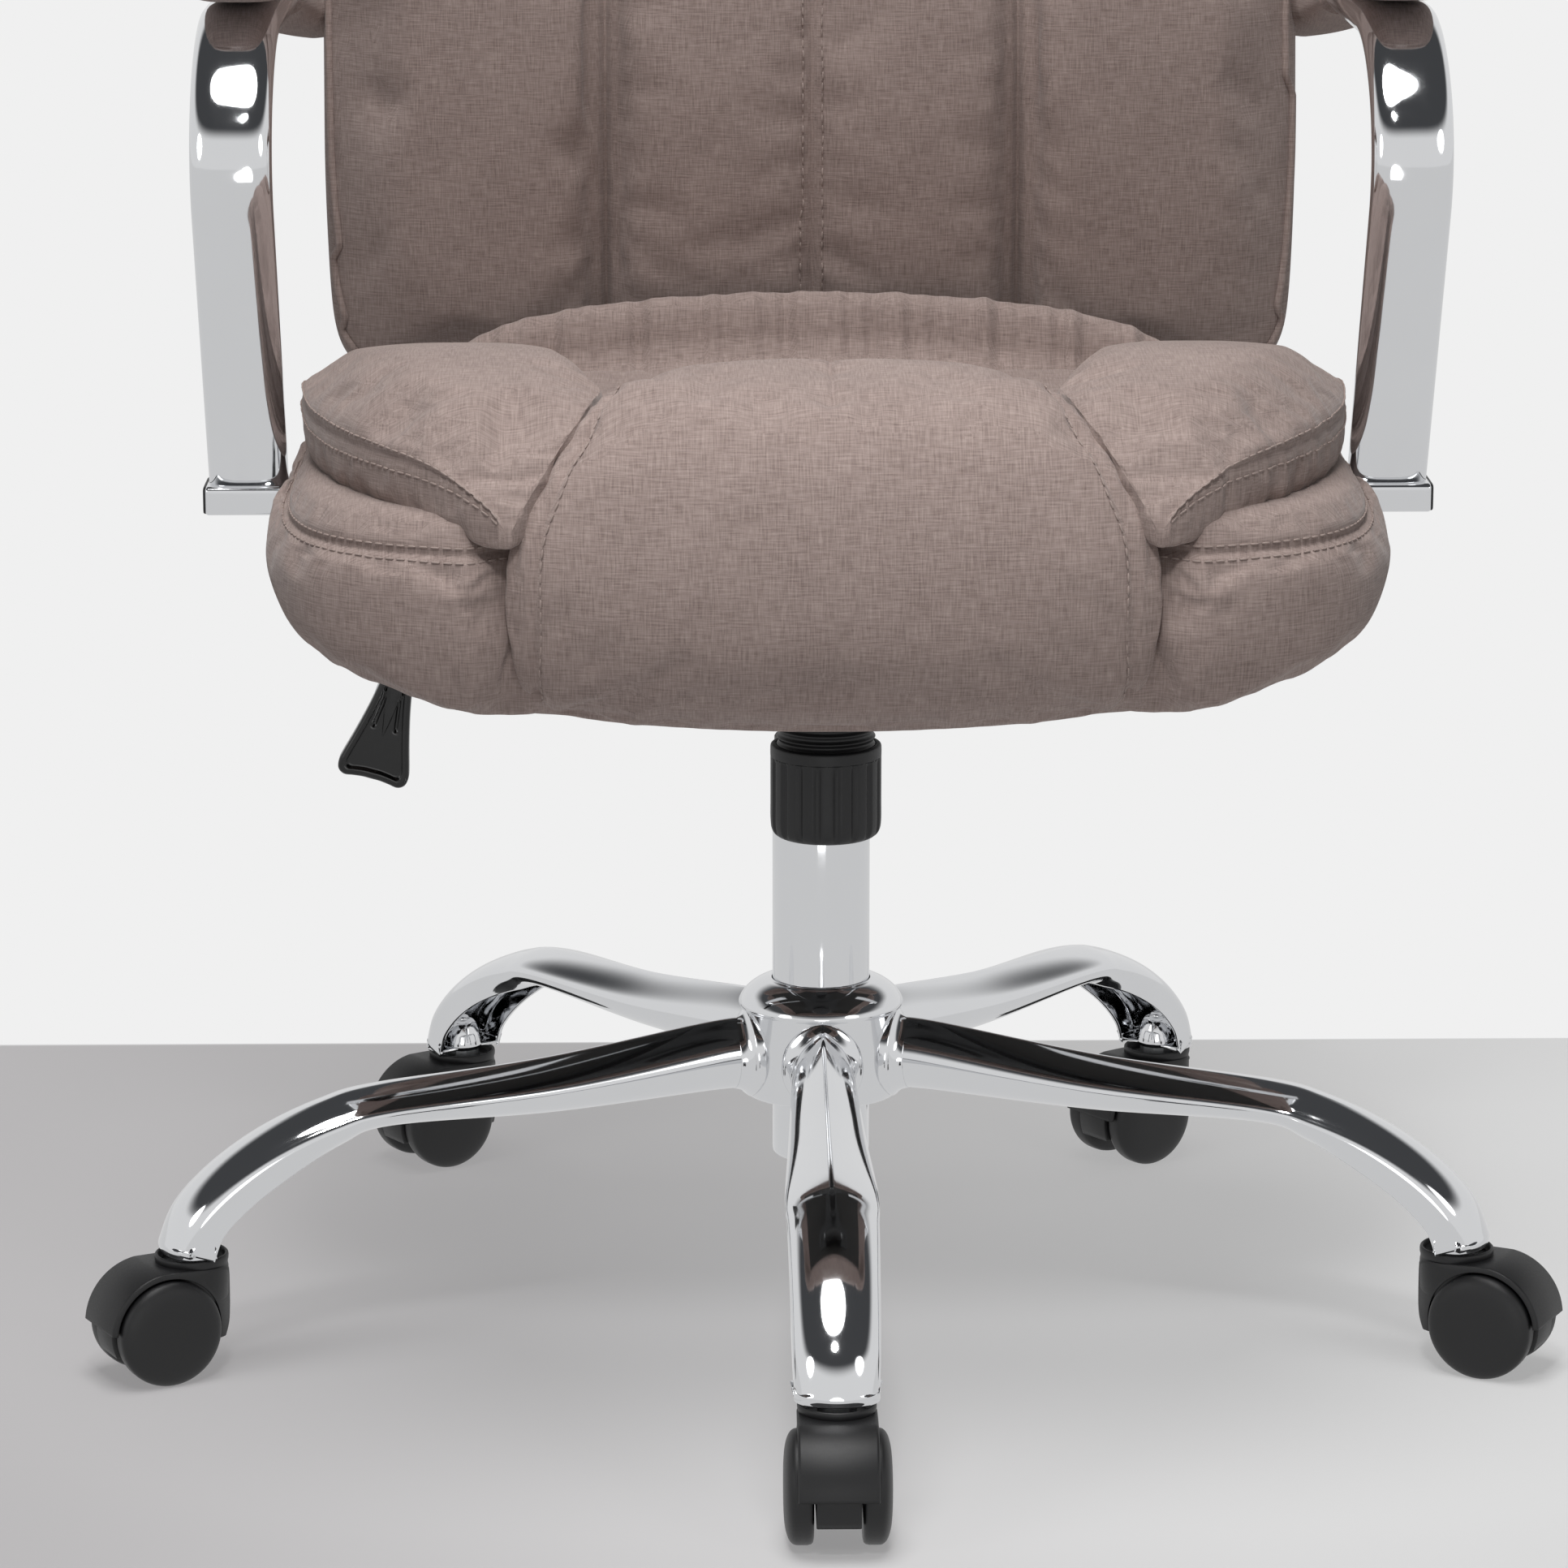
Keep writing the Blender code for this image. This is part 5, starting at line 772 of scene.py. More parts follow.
def make_seat_pillows():
    """Side pillows: swelled above their seams, with gathers as sums of sines along the outer one."""
    base, s = pillow_points()
    rows, count = base.shape[:2]
    row_at = np.repeat(np.arange(rows), count)
    column = np.tile(np.arange(count), rows)
    run = np.append(0.0, np.cumsum(np.linalg.norm(np.diff(base[:, 0], axis=0), axis=1)))
    generator = np.random.default_rng(7)
    for side, way, gather in (("left", -1.0, 0.45), ("right", 1.0, 1.0)):
        points = base * (way, 1.0, 1.0)
        name = f"seat_pillow_{side}"
        thing = add_pad(name, points)
        held = (points.reshape(-1, 3)[:, 2] < 0.4600) | (row_at < 1) | (row_at >= rows - 1)
        held = held | (column == 0) | (column == count // 2)
        from_seam = np.where(column < count // 2, column, count - column)
        swell(thing, held, 0.006, slack=0.03, share=ease((from_seam - 1.0) / 9.0))
        # Gathers along the outer seam: ridges down the boxing below it, dying away above it
        lengths = (0.0085, 0.0125, 0.0190, 0.0310)
        waves = [np.sin(TURN * run / length + generator.uniform(0.0, TURN)) for length in lengths]
        wave = np.repeat(np.sum(waves, axis=0), count)
        below = np.tile(s[0] < 0.0, rows)
        reach = np.where(below, ease((34 - from_seam) / 10.0), bell(from_seam, 7.0)) * (np.minimum(from_seam, 4) / 4.0)
        front = ease((-0.10 - points[..., 1].reshape(-1)) / 0.07)
        outer = (base[..., 0] > base[..., 0].mean(axis=1, keepdims=True)).reshape(-1)
        press(thing, 0.0006 * gather * wave * reach * front * outer + 0.0011 * bell(from_seam, 1.2) * outer)
        shape, out = surface_of(thing, points.shape)
        finish_pad(thing)
        seen = points[:, 0, 1] < 0.10
        lines = [(shape[:, k] + out[:, k] * STITCH_LIFT)[seen] for k in (3, count - 3)]
        stitch_rows(f"seat_pillow_stitches_{side}", lines, (0.0, 0.0, 1.0))


def make_seat_rear():
    """Gathered panel at the rear: a line over Y and Z carried across X, waved along its normal."""
    line = skinned(np.array((
        (0.110, 0.4605), (0.155, 0.4620), (0.178, 0.4670), (0.188, 0.4770), (0.1915, 0.4880), (0.1955, 0.4970),
        (0.2030, 0.5020), (0.2110, 0.4985), (0.2120, 0.4850))), 7)
    ahead = unit(np.gradient(line, axis=0))
    out = np.stack((-ahead[:, 1], ahead[:, 0]), axis=-1)[:, None]
    t = np.linspace(-1.0, 1.0, 200)
    x = 0.205 * t
    generator = np.random.default_rng(11)
    wave = sum(np.sin(k * 150.0 * x + generator.uniform(0.0, TURN)) / k ** 0.4 for k in (1.0, 1.7, 2.6, 3.7))
    up = np.linspace(0.0, 1.0, len(line))[:, None]
    lift = 0.0015 * wave * ease((up - 0.1) / 0.3) * ease((0.86 - up) / 0.25)
    arch = np.stack((0.010 * t ** 2, 0.020 * t ** 2 + 0.020 * np.abs(t) ** 8), axis=-1)
    upper = line[:, None] + out * lift[..., None] - arch
    lower = (line[:, None] - out * 0.008 - arch)[:, ::-1]
    flat = np.concatenate((upper, lower), axis=1)
    across = np.broadcast_to(np.concatenate((x, 0.98 * x[::-1])), flat.shape[:2])
    points = np.concatenate((across[..., None], flat), axis=-1)
    finish_pad(add_pad("seat_rear_panel", points))


# Back

def back_to_world(points):
    """The back's own axes, X across, Y up the cushion and Z out of its front, to the chair's."""
    x, up, out = points[..., 0], points[..., 1], points[..., 2]
    c, s = np.cos(BACK_LEAN), np.sin(BACK_LEAN)
    return np.stack((x, s * up - c * out, c * up + s * out), axis=-1) + BACK_FOOT


BACK_ROWS = 112
BACK_COLUMNS = 220
HEAD_SEAM = 0.501
CHANNEL_X = 0.112


def back_seams(x, up, width=0.010):
    """Depth of the two channels and the middle seam below the head pillow, and of its own seam."""
    channel = bpy.context.scene.chair_sizes.channel
    below = ease((HEAD_SEAM - up) / 0.016)
    lines = channel * (0.8 * bell(np.abs(x) - CHANNEL_X, width) + 0.3 * bell(np.abs(x) - CHANNEL_X, 0.0022))
    lines = lines + channel * (0.22 * bell(x, width) + 0.14 * bell(x, 0.0018))
    return lines * below + 1.1 * channel * bell(up - HEAD_SEAM, 1.2 * width)


def back_points():
    """Back cushion: superellipse sections at even heights, closing at foot and top.

    The front carries a lumbar swell and a head pillow, and is crowned between its channels.
    """
    sizes = bpy.context.scene.chair_sizes
    v = np.sin(np.linspace(-0.494, 0.494, BACK_ROWS) * np.pi)
    up = BACK_LENGTH * (v + 1.0) / 2.0
    # The lower corners are squarer than the upper ones
    wide = (1.0 - np.abs(v) ** np.where(v < 0.0, 28.0, 9.0)) ** (1.0 / 5.0)
    deep = (1.0 - np.abs(v) ** 5) ** (1.0 / 2.6)
    inset = 0.026 * ease((up / BACK_LENGTH - 0.72) / 0.28) + 0.004 * ease((0.2 - up / BACK_LENGTH) / 0.2)
    half = (sizes.back_half_width - inset) * wide
    front = (sizes.back_thick / 2.0) * deep
    points = pad_sections(up, -half, half, -front, 0.0 * up, front, pad_round(5.0, 5.0, 5.0, 1600))
    # Columns lie closer together at the sewn lines
    near = bell(np.abs(points[..., 0]) - CHANNEL_X, 0.007) + bell(points[..., 0], 0.006)
    weight = 1.0 + 5.0 * near * (points[..., 2] > 0.0)
    even = np.stack([evened(p, BACK_COLUMNS, closed=True, weight=w) for p, w in zip(points, weight)])
    x, out = even[..., 0], even[..., 2]
    high = up[:, None] / BACK_LENGTH
    swells = 0.016 * bell(high - 0.26, 0.14) + 0.012 * bell(high - 0.84, 0.10)
    facing = np.clip(out / (sizes.back_thick / 2.0), 0.0, 1.0)
    edge = np.clip(1.0 - np.abs(x) / sizes.back_half_width, 0.0, 1.0)
    even[..., 2] = out + facing * swells * ease(edge / 0.12)
    return even


def make_back_cushion():
    """Back cushion: swelled between its channels and seams, which are pressed in by bell curves."""
    local = back_points()
    points = back_to_world(local)
    thing = add_pad("back_pad", points)
    flat = local.reshape(-1, 3)
    facing = ease(flat[:, 2] / 0.030)
    seams = back_seams(flat[:, 0], flat[:, 1])
    half = np.repeat(np.abs(local[..., 0]).max(axis=1), local.shape[1])
    held = (flat[:, 2] < 0.0) | (np.abs(np.abs(flat[:, 0]) - CHANNEL_X) < 0.006) & (flat[:, 1] < HEAD_SEAM)
    held = held | (np.abs(flat[:, 0]) < 0.004) & (flat[:, 1] < HEAD_SEAM) | (np.abs(flat[:, 1] - HEAD_SEAM) < 0.006)
    swell(thing, held, 0.008, share=ease((half - np.abs(flat[:, 0]) - 0.004) / 0.030))
    press(thing, facing * seams)
    shape, out = surface_of(thing, points.shape)
    finish_pad(thing, hides=("back_cushion",))
    front_out = np.array((0.0, -np.cos(BACK_LEAN), np.sin(BACK_LEAN)))

    def riser(place, low, high):
        """Line up the front at a place across it."""
        rows = np.flatnonzero((local[:, 0, 1] > low) & (local[:, 0, 1] < high))
        near = np.where(local[rows, :, 2] > 0.0, np.abs(local[rows, :, 0] - place), 9.0).argmin(axis=1)
        return shape[rows, near] + out[rows, near] * 0.0004

    lines = [riser(place, 0.03, HEAD_SEAM - 0.012) for place in (-0.0055, 0.0055)]
    stitch_rows("back_stitches", [evened(line, 160) for line in lines], (1.0, 0.0, 0.0))
    # Corded seam where the front panel meets the sides
    pipes = []
    for way in (-1.0, 1.0):
        aim = way * (half.reshape(local.shape[:2])[:, 0] - 0.006)
        near = np.where(local[..., 2] > 0.0, np.abs(local[..., 0] - aim[:, None]), 9.0).argmin(axis=1)
        index = np.arange(local.shape[0])
        pipes.append(shape[index, near] + out[index, near] * 0.0006)
    pipe = evened(np.concatenate((pipes[0], pipes[1][::-1])), 520, closed=True)
    piped("back_piping", pipe, front_out)


def make_back_panel():
    """Padded cover of the back board: crowned by one less the fourth powers of both places."""
    low, high = 0.071, 0.651
    half, rear = 0.2045, -0.0535
    u = np.sin(np.linspace(-0.5, 0.5, 60) * np.pi)
    v = np.sin(np.linspace(-0.5, 0.5, 90) * np.pi)
    x = half * u[None, :] * (1.0 - 0.05 * np.abs(v[:, None]) ** 6)
    up = (low + high) / 2.0 + (high - low) / 2.0 * v[:, None] * (1.0 - 0.02 * np.abs(u[None, :]) ** 6)
    crown = 0.005 * (1.0 - u[None, :] ** 6) ** 0.5 * (1.0 - v[:, None] ** 6) ** 0.5
    outer = np.stack((x, up, rear - crown), axis=-1)
    inner = np.stack((x, up, np.full_like(x, rear + 0.008)), axis=-1)
    points = np.concatenate((outer, inner[:, ::-1]), axis=1)
    finish_pad(add_pad("back_panel", back_to_world(points)), hides=("back_board",))
    rim = np.concatenate((outer[:, 0], outer[-1, 1:-1], outer[::-1, -1], outer[0, -2:0:-1]))
    rim = evened(back_to_world(rim + (0.0, 0.0, 0.001)), 420, closed=True)
    piped("back_panel_piping", rim, (0.0, np.cos(BACK_LEAN), -np.sin(BACK_LEAN)))


# Arms

LOOP_X, LOOP_HALF_W, LOOP_HALF_T = 0.2945, 0.0205, 0.0100


def bezier(points, count):
    """Cubic from the first to the last of four points."""
    p = np.asarray(points, float)
    t = np.linspace(0.0, 1.0, count)[:, None]
    u = 1.0 - t
    return u ** 3 * p[0] + 3.0 * t * u ** 2 * p[1] + 3.0 * t ** 2 * u * p[2] + t ** 3 * p[3]


def loop_line():
    """Middle of the loop on the +X side: leaning post, round elbow, level run, tail to the back."""
    foot, knee = np.array((LOOP_X, 0.070, 0.4160)), np.array((LOOP_X, -0.004, 0.570))
    run, rear = np.array((LOOP_X, 0.080, 0.660)), np.array((LOOP_X, 0.215, 0.660))
    lean = unit(knee - foot)
    elbow = bezier((knee, knee + lean * 0.0558, run - (0.0, 0.0521, 0.0), run), 60)
    end_y = BACK_FOOT[1] + (0.640 - BACK_FOOT[2]) * np.tan(BACK_LEAN)
    end = np.array((0.2665, end_y, 0.640))
    third = (end_y - 0.215) / 3.0
    tail = bezier((rear, rear + (0.0, third, 0.0), end + (third, -third, 0.0067), end), 40)
    post = foot + (knee - foot) * np.linspace(0.0, 1.0, 30)[:-1, None]
    level = run + (rear - run) * np.linspace(0.0, 1.0, 20)[1:-1, None]
    return np.concatenate((post, elbow, level, tail))


def loop_grid(line, half_w, half_t, sides=48):
    """Flat-oval tube: superellipse section, its wide axis kept along X."""
    ahead = unit(np.gradient(line, axis=0))
    across = unit(np.array((1.0, 0.0, 0.0)) - ahead * ahead[:, :1])
    out = np.cross(ahead, across)
    turn = np.linspace(0.0, TURN, sides, endpoint=False)
    wide = power(np.cos(turn), 0.6) * half_w
    deep = power(np.sin(turn), 0.8) * half_t
    return line[:, None] + across[:, None] * wide[None, :, None] + out[:, None] * deep[None, :, None]


def make_arm_loops():
    """Arm loops: an oval tube along the loop, a flat foot bar, its end plug and the sewn tail cover."""
    line = loop_line()
    for side, way in (("left", -1.0), ("right", 1.0)):
        mirror = np.array((way, 1.0, 1.0))
        tube = loop_grid(line, LOOP_HALF_W, LOOP_HALF_T) * mirror
        corner = ring(1.0, 48)
        outline = np.stack((0.019 * power(corner[:, 0], 0.25), 0.00775 * power(corner[:, 1], 0.25)), axis=-1)
        bar = slab(outline, 0.0978, 0.0015)
        bar = np.stack((0.2185 + bar[..., 2], 0.070 + bar[..., 0], 0.41595 + bar[..., 1]), axis=-1) * mirror
        add_piece(f"arm_frame_{side}", [capped(tube), capped(bar)], "tilt", "chrome_plate", (f"arm_loop_{side}",))
        plug = slab(outline * 0.93, 0.0015, 0.0008)
        plug = np.stack((0.3160 + plug[..., 2], 0.070 + plug[..., 0], 0.41595 + plug[..., 1]), axis=-1) * mirror
        add_piece(f"foot_plug_{side}", [capped(plug)], "tilt", "moulded_plastic")
        tail = line[line[:, 1] > 0.236]
        sleeve = loop_grid(tail, LOOP_HALF_W + 0.0012, LOOP_HALF_T + 0.0012) * mirror
        add_piece(f"arm_tail_cover_{side}", [capped(sleeve)], "tilt", WOVEN)


def make_arm_pads():
    """Arm pads: superellipse sections, flat below and crowned above, closing at both ends."""
    for side, way in (("left", -1.0), ("right", 1.0)):
        v = np.sin(np.linspace(-0.494, 0.494, 70) * np.pi)
        y = (PAD_LOW[1] + PAD_HIGH[1]) / 2.0 + (PAD_HIGH[1] - PAD_LOW[1]) / 2.0 * v
        close = (1.0 - np.abs(v) ** 5) ** (1.0 / 3.0)
        half = (PAD_HIGH[0] - PAD_LOW[0]) / 2.0 * close
        seam = PAD_LOW[2] + 0.014
        high = seam + (PAD_HIGH[2] - seam) * close
        low = seam - (seam - PAD_LOW[2]) * np.maximum(close, 0.4)
        around = pad_round(3.4, 3.4, 1.6, 80)
        points = pad_sections(y, LOOP_X - half, LOOP_X + half, low, seam, high, around) * (way, 1.0, 1.0)
        name = f"arm_rest_{side}"
        thing = add_pad(name, points)
        flat = points.reshape(-1, 3)
        swell(thing, flat[:, 2] < seam, 0.002)
        press(thing, 0.0015 * bell(flat[:, 2] - seam, 0.002))
        shape, _ = surface_of(thing, points.shape)
        finish_pad(thing, hides=(f"arm_pad_{side}",))
        loop = np.concatenate((shape[2:-2, 0], shape[::-1, 40][2:-2]))
        piped(f"arm_rest_piping_{side}", evened(loop, 200, closed=True), (0.0, 0.0, 1.0), radius=0.0016)


# Base

STEM_CIRCLE_R = 0.335
ARM_TOP = 0.157
CASTORS = range(1, 6)


def arm_section(half_w, depth, opening, ridge, s):
    """Sideways and downward places round an arm's skin, s from -1 to 1.

    The top is half an ellipse, drawn up to a ridge by a straight slope; below it
    the walls close to a seam when opening is 0 and hang straight when it is 1.
    """
    crown = 0.55 * depth
    upper = np.clip(np.abs(s) / 0.6, 0.0, 1.0) * np.pi / 2.0
    lower = np.clip((np.abs(s) - 0.6) / 0.4, 0.0, 1.0)
    closing = np.cos(lower * np.pi / 2.0) * (1.0 - opening) + opening
    falling = np.sin(lower * np.pi / 2.0) * (1.0 - opening) + lower * opening
    side = np.sign(s) * half_w * np.sin(upper) * closing
    dome = 1.0 - np.cos(upper)
    dome = dome * (1.0 - ridge) + ridge * (0.75 * np.sin(upper) + 0.25 * dome)
    return side, crown * dome + (depth - crown) * falling


def arm_points():
    """One pressed arm along +X: the section carried along its top line."""
    elbow = bezier(((0.235, 0.1405), (0.285, 0.1365), (0.3465, 0.099), (0.3505, 0.069)), 6)
    line = np.concatenate((((0.034, ARM_TOP), (0.0598, ARM_TOP), (0.147, 0.1463)), elbow, ((0.3505, 0.0630),)))
    share = np.append(np.linspace(0.0, 1.0, 6), 1.0)
    width = np.concatenate(((0.032, 0.032, 0.0385), 0.045 - 0.005 * share))
    depth = np.concatenate(((0.036, 0.036, 0.02825), 0.0205 + 0.0035 * share))
    opening = np.concatenate((np.full(3, 0.16), ease(0.30 + 1.3 * share)))
    ridge = np.concatenate(((0.55, 0.55, 0.5), 0.35 * (1.0 - ease(share / 0.5))))
    table = skinned(np.column_stack((line, width, depth, opening, ridge)), 10)
    ahead = unit(np.gradient(table[:, :2], axis=0))
    ahead[:10] = (1.0, 0.0)
    ahead[-10:] = (0.0, -1.0)
    s = np.linspace(1.0, -1.0, 65)[None, :]
    side, down = arm_section(
        table[:, 2:3] / 2.0, table[:, 3:4], np.clip(table[:, 4:5], 0.0, 1.0), np.clip(table[:, 5:6], 0.0, 1.0), s)
    r = table[:, :1] + ahead[:, 1:] * down
    z = table[:, 1:2] - ahead[:, :1] * down
    return np.stack((r, side, z), axis=-1)


def arm_turns():
    """Direction of each arm, read from its castor stem in the frame."""
    places = [np.mean(corners(f"castor_stem_{n}"), axis=0) for n in CASTORS]
    return [float(np.arctan2(place[1], place[0])) for place in places]


def make_base_arms():
    """Pressed arms: one skin turned to each castor stem and given its sheet thickness."""
    points = arm_points()
    for number, turn in enumerate(arm_turns(), 1):
        mesh = mesh_of(f"star_arm_{number}", grid(turned(points, turn)))
        thing = add_object(f"star_arm_{number}", mesh, finish("chrome_plate"))
        wall = thing.modifiers.new("Sheet", "SOLIDIFY")
        wall.thickness = 0.0018
        wall.offset = -1.0
        settle(thing, "base", (f"base_arm_{number}",))


def make_sockets():
    """Bell sockets in the arms' ends: a revolved bell on a plate, with its rivet head."""
    bell_line = skinned(np.array((
        (0.0001, 0.0813), (0.0030, 0.0811), (0.0041, 0.0799), (0.0043, 0.0790), (0.0062, 0.0786), (0.0078, 0.0770),
        (0.0094, 0.0735), (0.0103, 0.0705), (0.0112, 0.0630), (0.0060, 0.0629))), 3)
    s = np.linspace(-1.0, 1.0, 60, endpoint=False)
    side, down = arm_section(0.0178, 0.0217, 1.0, 0.0, s)
    plate = slab(np.stack((0.3482 - down, side), axis=-1), 0.001, 0.0004, 2)
    plate[..., 2] += 0.064
    for number, turn in enumerate(arm_turns(), 1):
        cup = revolved(bell_line, 32) + (STEM_CIRCLE_R, 0.0, 0.0)
        grids = [capped(turned(part, turn)) for part in (cup, plate)]
        add_piece(f"bell_socket_{number}", grids, "base", "chrome_plate", (f"castor_socket_{number}",))


def make_hub():
    """Hub turned about the column: domed above, with a fillet lofted round each arm's root."""
    low, high = HUB_LOW[2], HUB_HIGH[2]
    dome = skinned(np.array((
        (0.0268, high - 0.0004), (0.0300, high - 0.0013), (0.0345, high - 0.0034), (0.0385, high - 0.0064),
        (0.0412, high - 0.0098), (0.0424, high - 0.0122))), 4)
    profile = np.concatenate((((0.0253, high - 0.0006), (0.0256, high), (0.0262, high)), dome, np.array((
        (0.0425, high - 0.0130), (0.0423, high - 0.0138), (0.0417, high - 0.0144), (0.0414, high - 0.0152),
        (0.0414, low + 0.0045), (0.0410, low + 0.0018), (0.0396, low + 0.0004), (0.0385, low), (0.0257, low),
        (0.0253, low + 0.0004)))))
    grids = [grid(revolved(profile, 96), around=True, joined=True)]
    s = np.linspace(-1.0, 1.0, 96, endpoint=False)
    rings = []
    for r, g, ridge in (
            (0.0360, 0.0050, 0.10), (0.0395, 0.0049, 0.10), (0.0412, 0.0044, 0.12), (0.0421, 0.0033, 0.18),
            (0.0432, 0.0022, 0.28), (0.0446, 0.0013, 0.38), (0.0464, 0.0006, 0.48), (0.0484, 0.0001, 0.55)):
        side, down = arm_section(0.016 + g, 0.036 + 2.0 * g, 0.16, ridge, s)
        rings.append(np.stack((np.full_like(s, r), side, ARM_TOP + g - down), axis=-1))
    fillet = skinned(np.stack(rings), 3)
    grids += [capped(turned(fillet, turn)) for turn in arm_turns()]
    add_piece("star_hub", grids, "base", "chrome_plate", ("base_hub",))


def make_column():
    """Column tube: a turned profile with a rolled lip and a closed foot."""
    low, high = TUBE_LOW[2], TUBE_HIGH[2]
    profile = np.array((
        (0.0230, high - 0.06), (0.0230, high - 0.0006), (0.0234, high), (0.0242, high), (0.0248, high - 0.0004),
        (0.0250, high - 0.0012), (0.0250, low + 0.0025), (0.0246, low + 0.0010), (0.0236, low + 0.0002),
        (0.0225, low), (0.0056, low), (0.0053, low + 0.0006), (0.0053, low + 0.004)))
    add_piece("lift_column", [grid(revolved(profile, 80), around=True)], "base", "chrome_plate", ("column_tube",))


# Castors

def castor_place(number):
    """Stem's place and trail direction of a castor, read from the frame."""
    stem = np.mean(corners(f"castor_stem_{number}"), axis=0)
    axle = np.mean(corners(f"castor_axle_{number}"), axis=0)
    trail = axle - stem
    return np.array((stem[0], stem[1], 0.0)), float(np.arctan2(trail[1], trail[0])), float(np.hypot(*trail[:2]))


def hood_grids(trail, radius):
    """Castor hood: a skin over the wheels, a web between them and an open collar.

    The skin's section is a rounded block between an outer line and the wheels' well.
    """
    well = radius + 0.0012
    arc = np.radians(np.linspace(84.0, 5.0, 40))
    outer = np.concatenate((
        curved(np.array((
            (-0.0122, 0.0200), (-0.0158, 0.0262), (-0.0178, 0.0340), (-0.0183, 0.0440), (-0.0174, 0.0530),
            (-0.0110, 0.0566), (0.0000, 0.0574), (0.0100, 0.0578))), 40),
        np.stack((trail + (well + 0.0030) * np.cos(arc), radius + (well + 0.0030) * np.sin(arc)), axis=-1)))
    arc = np.radians(np.linspace(194.0, 5.0, 90))
    inner = np.stack((trail + well * np.cos(arc), radius + well * np.sin(arc)), axis=-1)
    outer, inner = evened(outer, 90), evened(inner, 90)
    edge = 0.0014
    thick = np.linalg.norm(inner - outer, axis=1)[:, None]
    corner = np.minimum(edge / thick, 0.45)
    into = np.array((0.0, 0.0, 0.0, 1.0, 1.0, 1.0)) + corner * np.array((0.0, 0.3, 1.0, -0.3, 0.0, 0.0))
    into = np.concatenate((into, into[:, ::-1]), axis=1)
    flat = outer[:, None] + (inner - outer)[:, None] * into[..., None]
    # Seen from above, the hood is round about its stem and straight behind it
    half = np.sqrt(np.maximum(0.0188 ** 2 - np.minimum(flat[..., 0], 0.0) ** 2, 0.0036 ** 2))
    less = edge * np.array((1.0, 0.3, 0.0, 0.0, 0.0, 0.5))
    across = (half - np.concatenate((less, less[::-1]))) * np.repeat((1.0, -1.0), 6)
    shell = np.stack((flat[..., 0], across, flat[..., 1]), axis=-1)
    disc = ring(well + 0.0006, 60) * (0.98, 0.98) + (trail, radius)
    disc = disc[disc[:, 1] > 0.0150]
    order = np.argsort(np.arctan2(disc[:, 1] - radius, disc[:, 0] - trail))
    web = slab(disc[order], 0.0104, 0.0006, 2)
    web = np.stack((web[..., 0], web[..., 2], web[..., 1]), axis=-1)
    collar = np.array((
        (0.0056, 0.0570), (0.0140, 0.0572), (0.0158, 0.0578), (0.0165, 0.0592), (0.0168, 0.0610), (0.0172, 0.0616),
        (0.0179, 0.0617), (0.0184, 0.0612), (0.0186, 0.0602), (0.0185, 0.0585), (0.0181, 0.0572), (0.0181, 0.0560),
        (0.0184, 0.0545), (0.0184, 0.0480), (0.0182, 0.0400), (0.0150, 0.0340), (0.0056, 0.0330)))
    return [
        (shell, dict(around=True, ends=("sewn", "sewn"))), (web, dict(around=True, ends=(True, True))),
        (revolved(collar, 64), dict(around=True, joined=True))]


def make_castors():
    """Castors: hoods on the swivels, turned wheels on the axles."""
    radius = bpy.context.scene.chair_sizes.wheel
    dome = np.linspace(0.0, np.pi / 2.0, 16)[:, None]
    profile = np.concatenate((
        np.array((
            (0.0031, 0.0002), (0.0034, 0.0), (0.0240, 0.0), (0.0258, 0.0004), (0.0266, 0.0013), (0.0270, 0.0030))),
        np.hstack((0.0269 * np.cos(dome) ** 0.55 + 0.0001, 0.0072 + 0.0068 * np.sin(dome) ** 0.8))))
    profile[:, 0] *= radius / WHEEL_RADIUS
    spun = revolved(profile, 72)
    for number in CASTORS:
        place, turn, trail = castor_place(number)
        grids = [grid(turned(points, turn, place), **ways) for points, ways in hood_grids(trail, radius)]
        add_piece(f"caster_hood_{number}", grids, f"castor_{number}", "moulded_plastic", (f"castor_hood_{number}",))
        for side, way in (("left", 1.0), ("right", -1.0)):
            wheel = np.stack((
                trail + spun[..., 0], way * (0.0113 + spun[..., 2]), radius + spun[..., 1]), axis=-1)
            add_piece(
                f"caster_wheel_{number}_{side}", [capped(turned(wheel, turn, place))],
                f"castor_{number}_wheel_{side}", "moulded_plastic", (f"castor_wheel_{number}_{side}",))


# Tension knob, spring and height lever

KNOB_SIDES = 288
KNOB_FLUTES = 18.0
THREAD_PITCH = 0.004
PADDLE_LEAN = np.radians(15.7)
COIL_RADIUS, COIL_WIRE, COIL_TURNS = 0.0172, 0.0027, 8.0


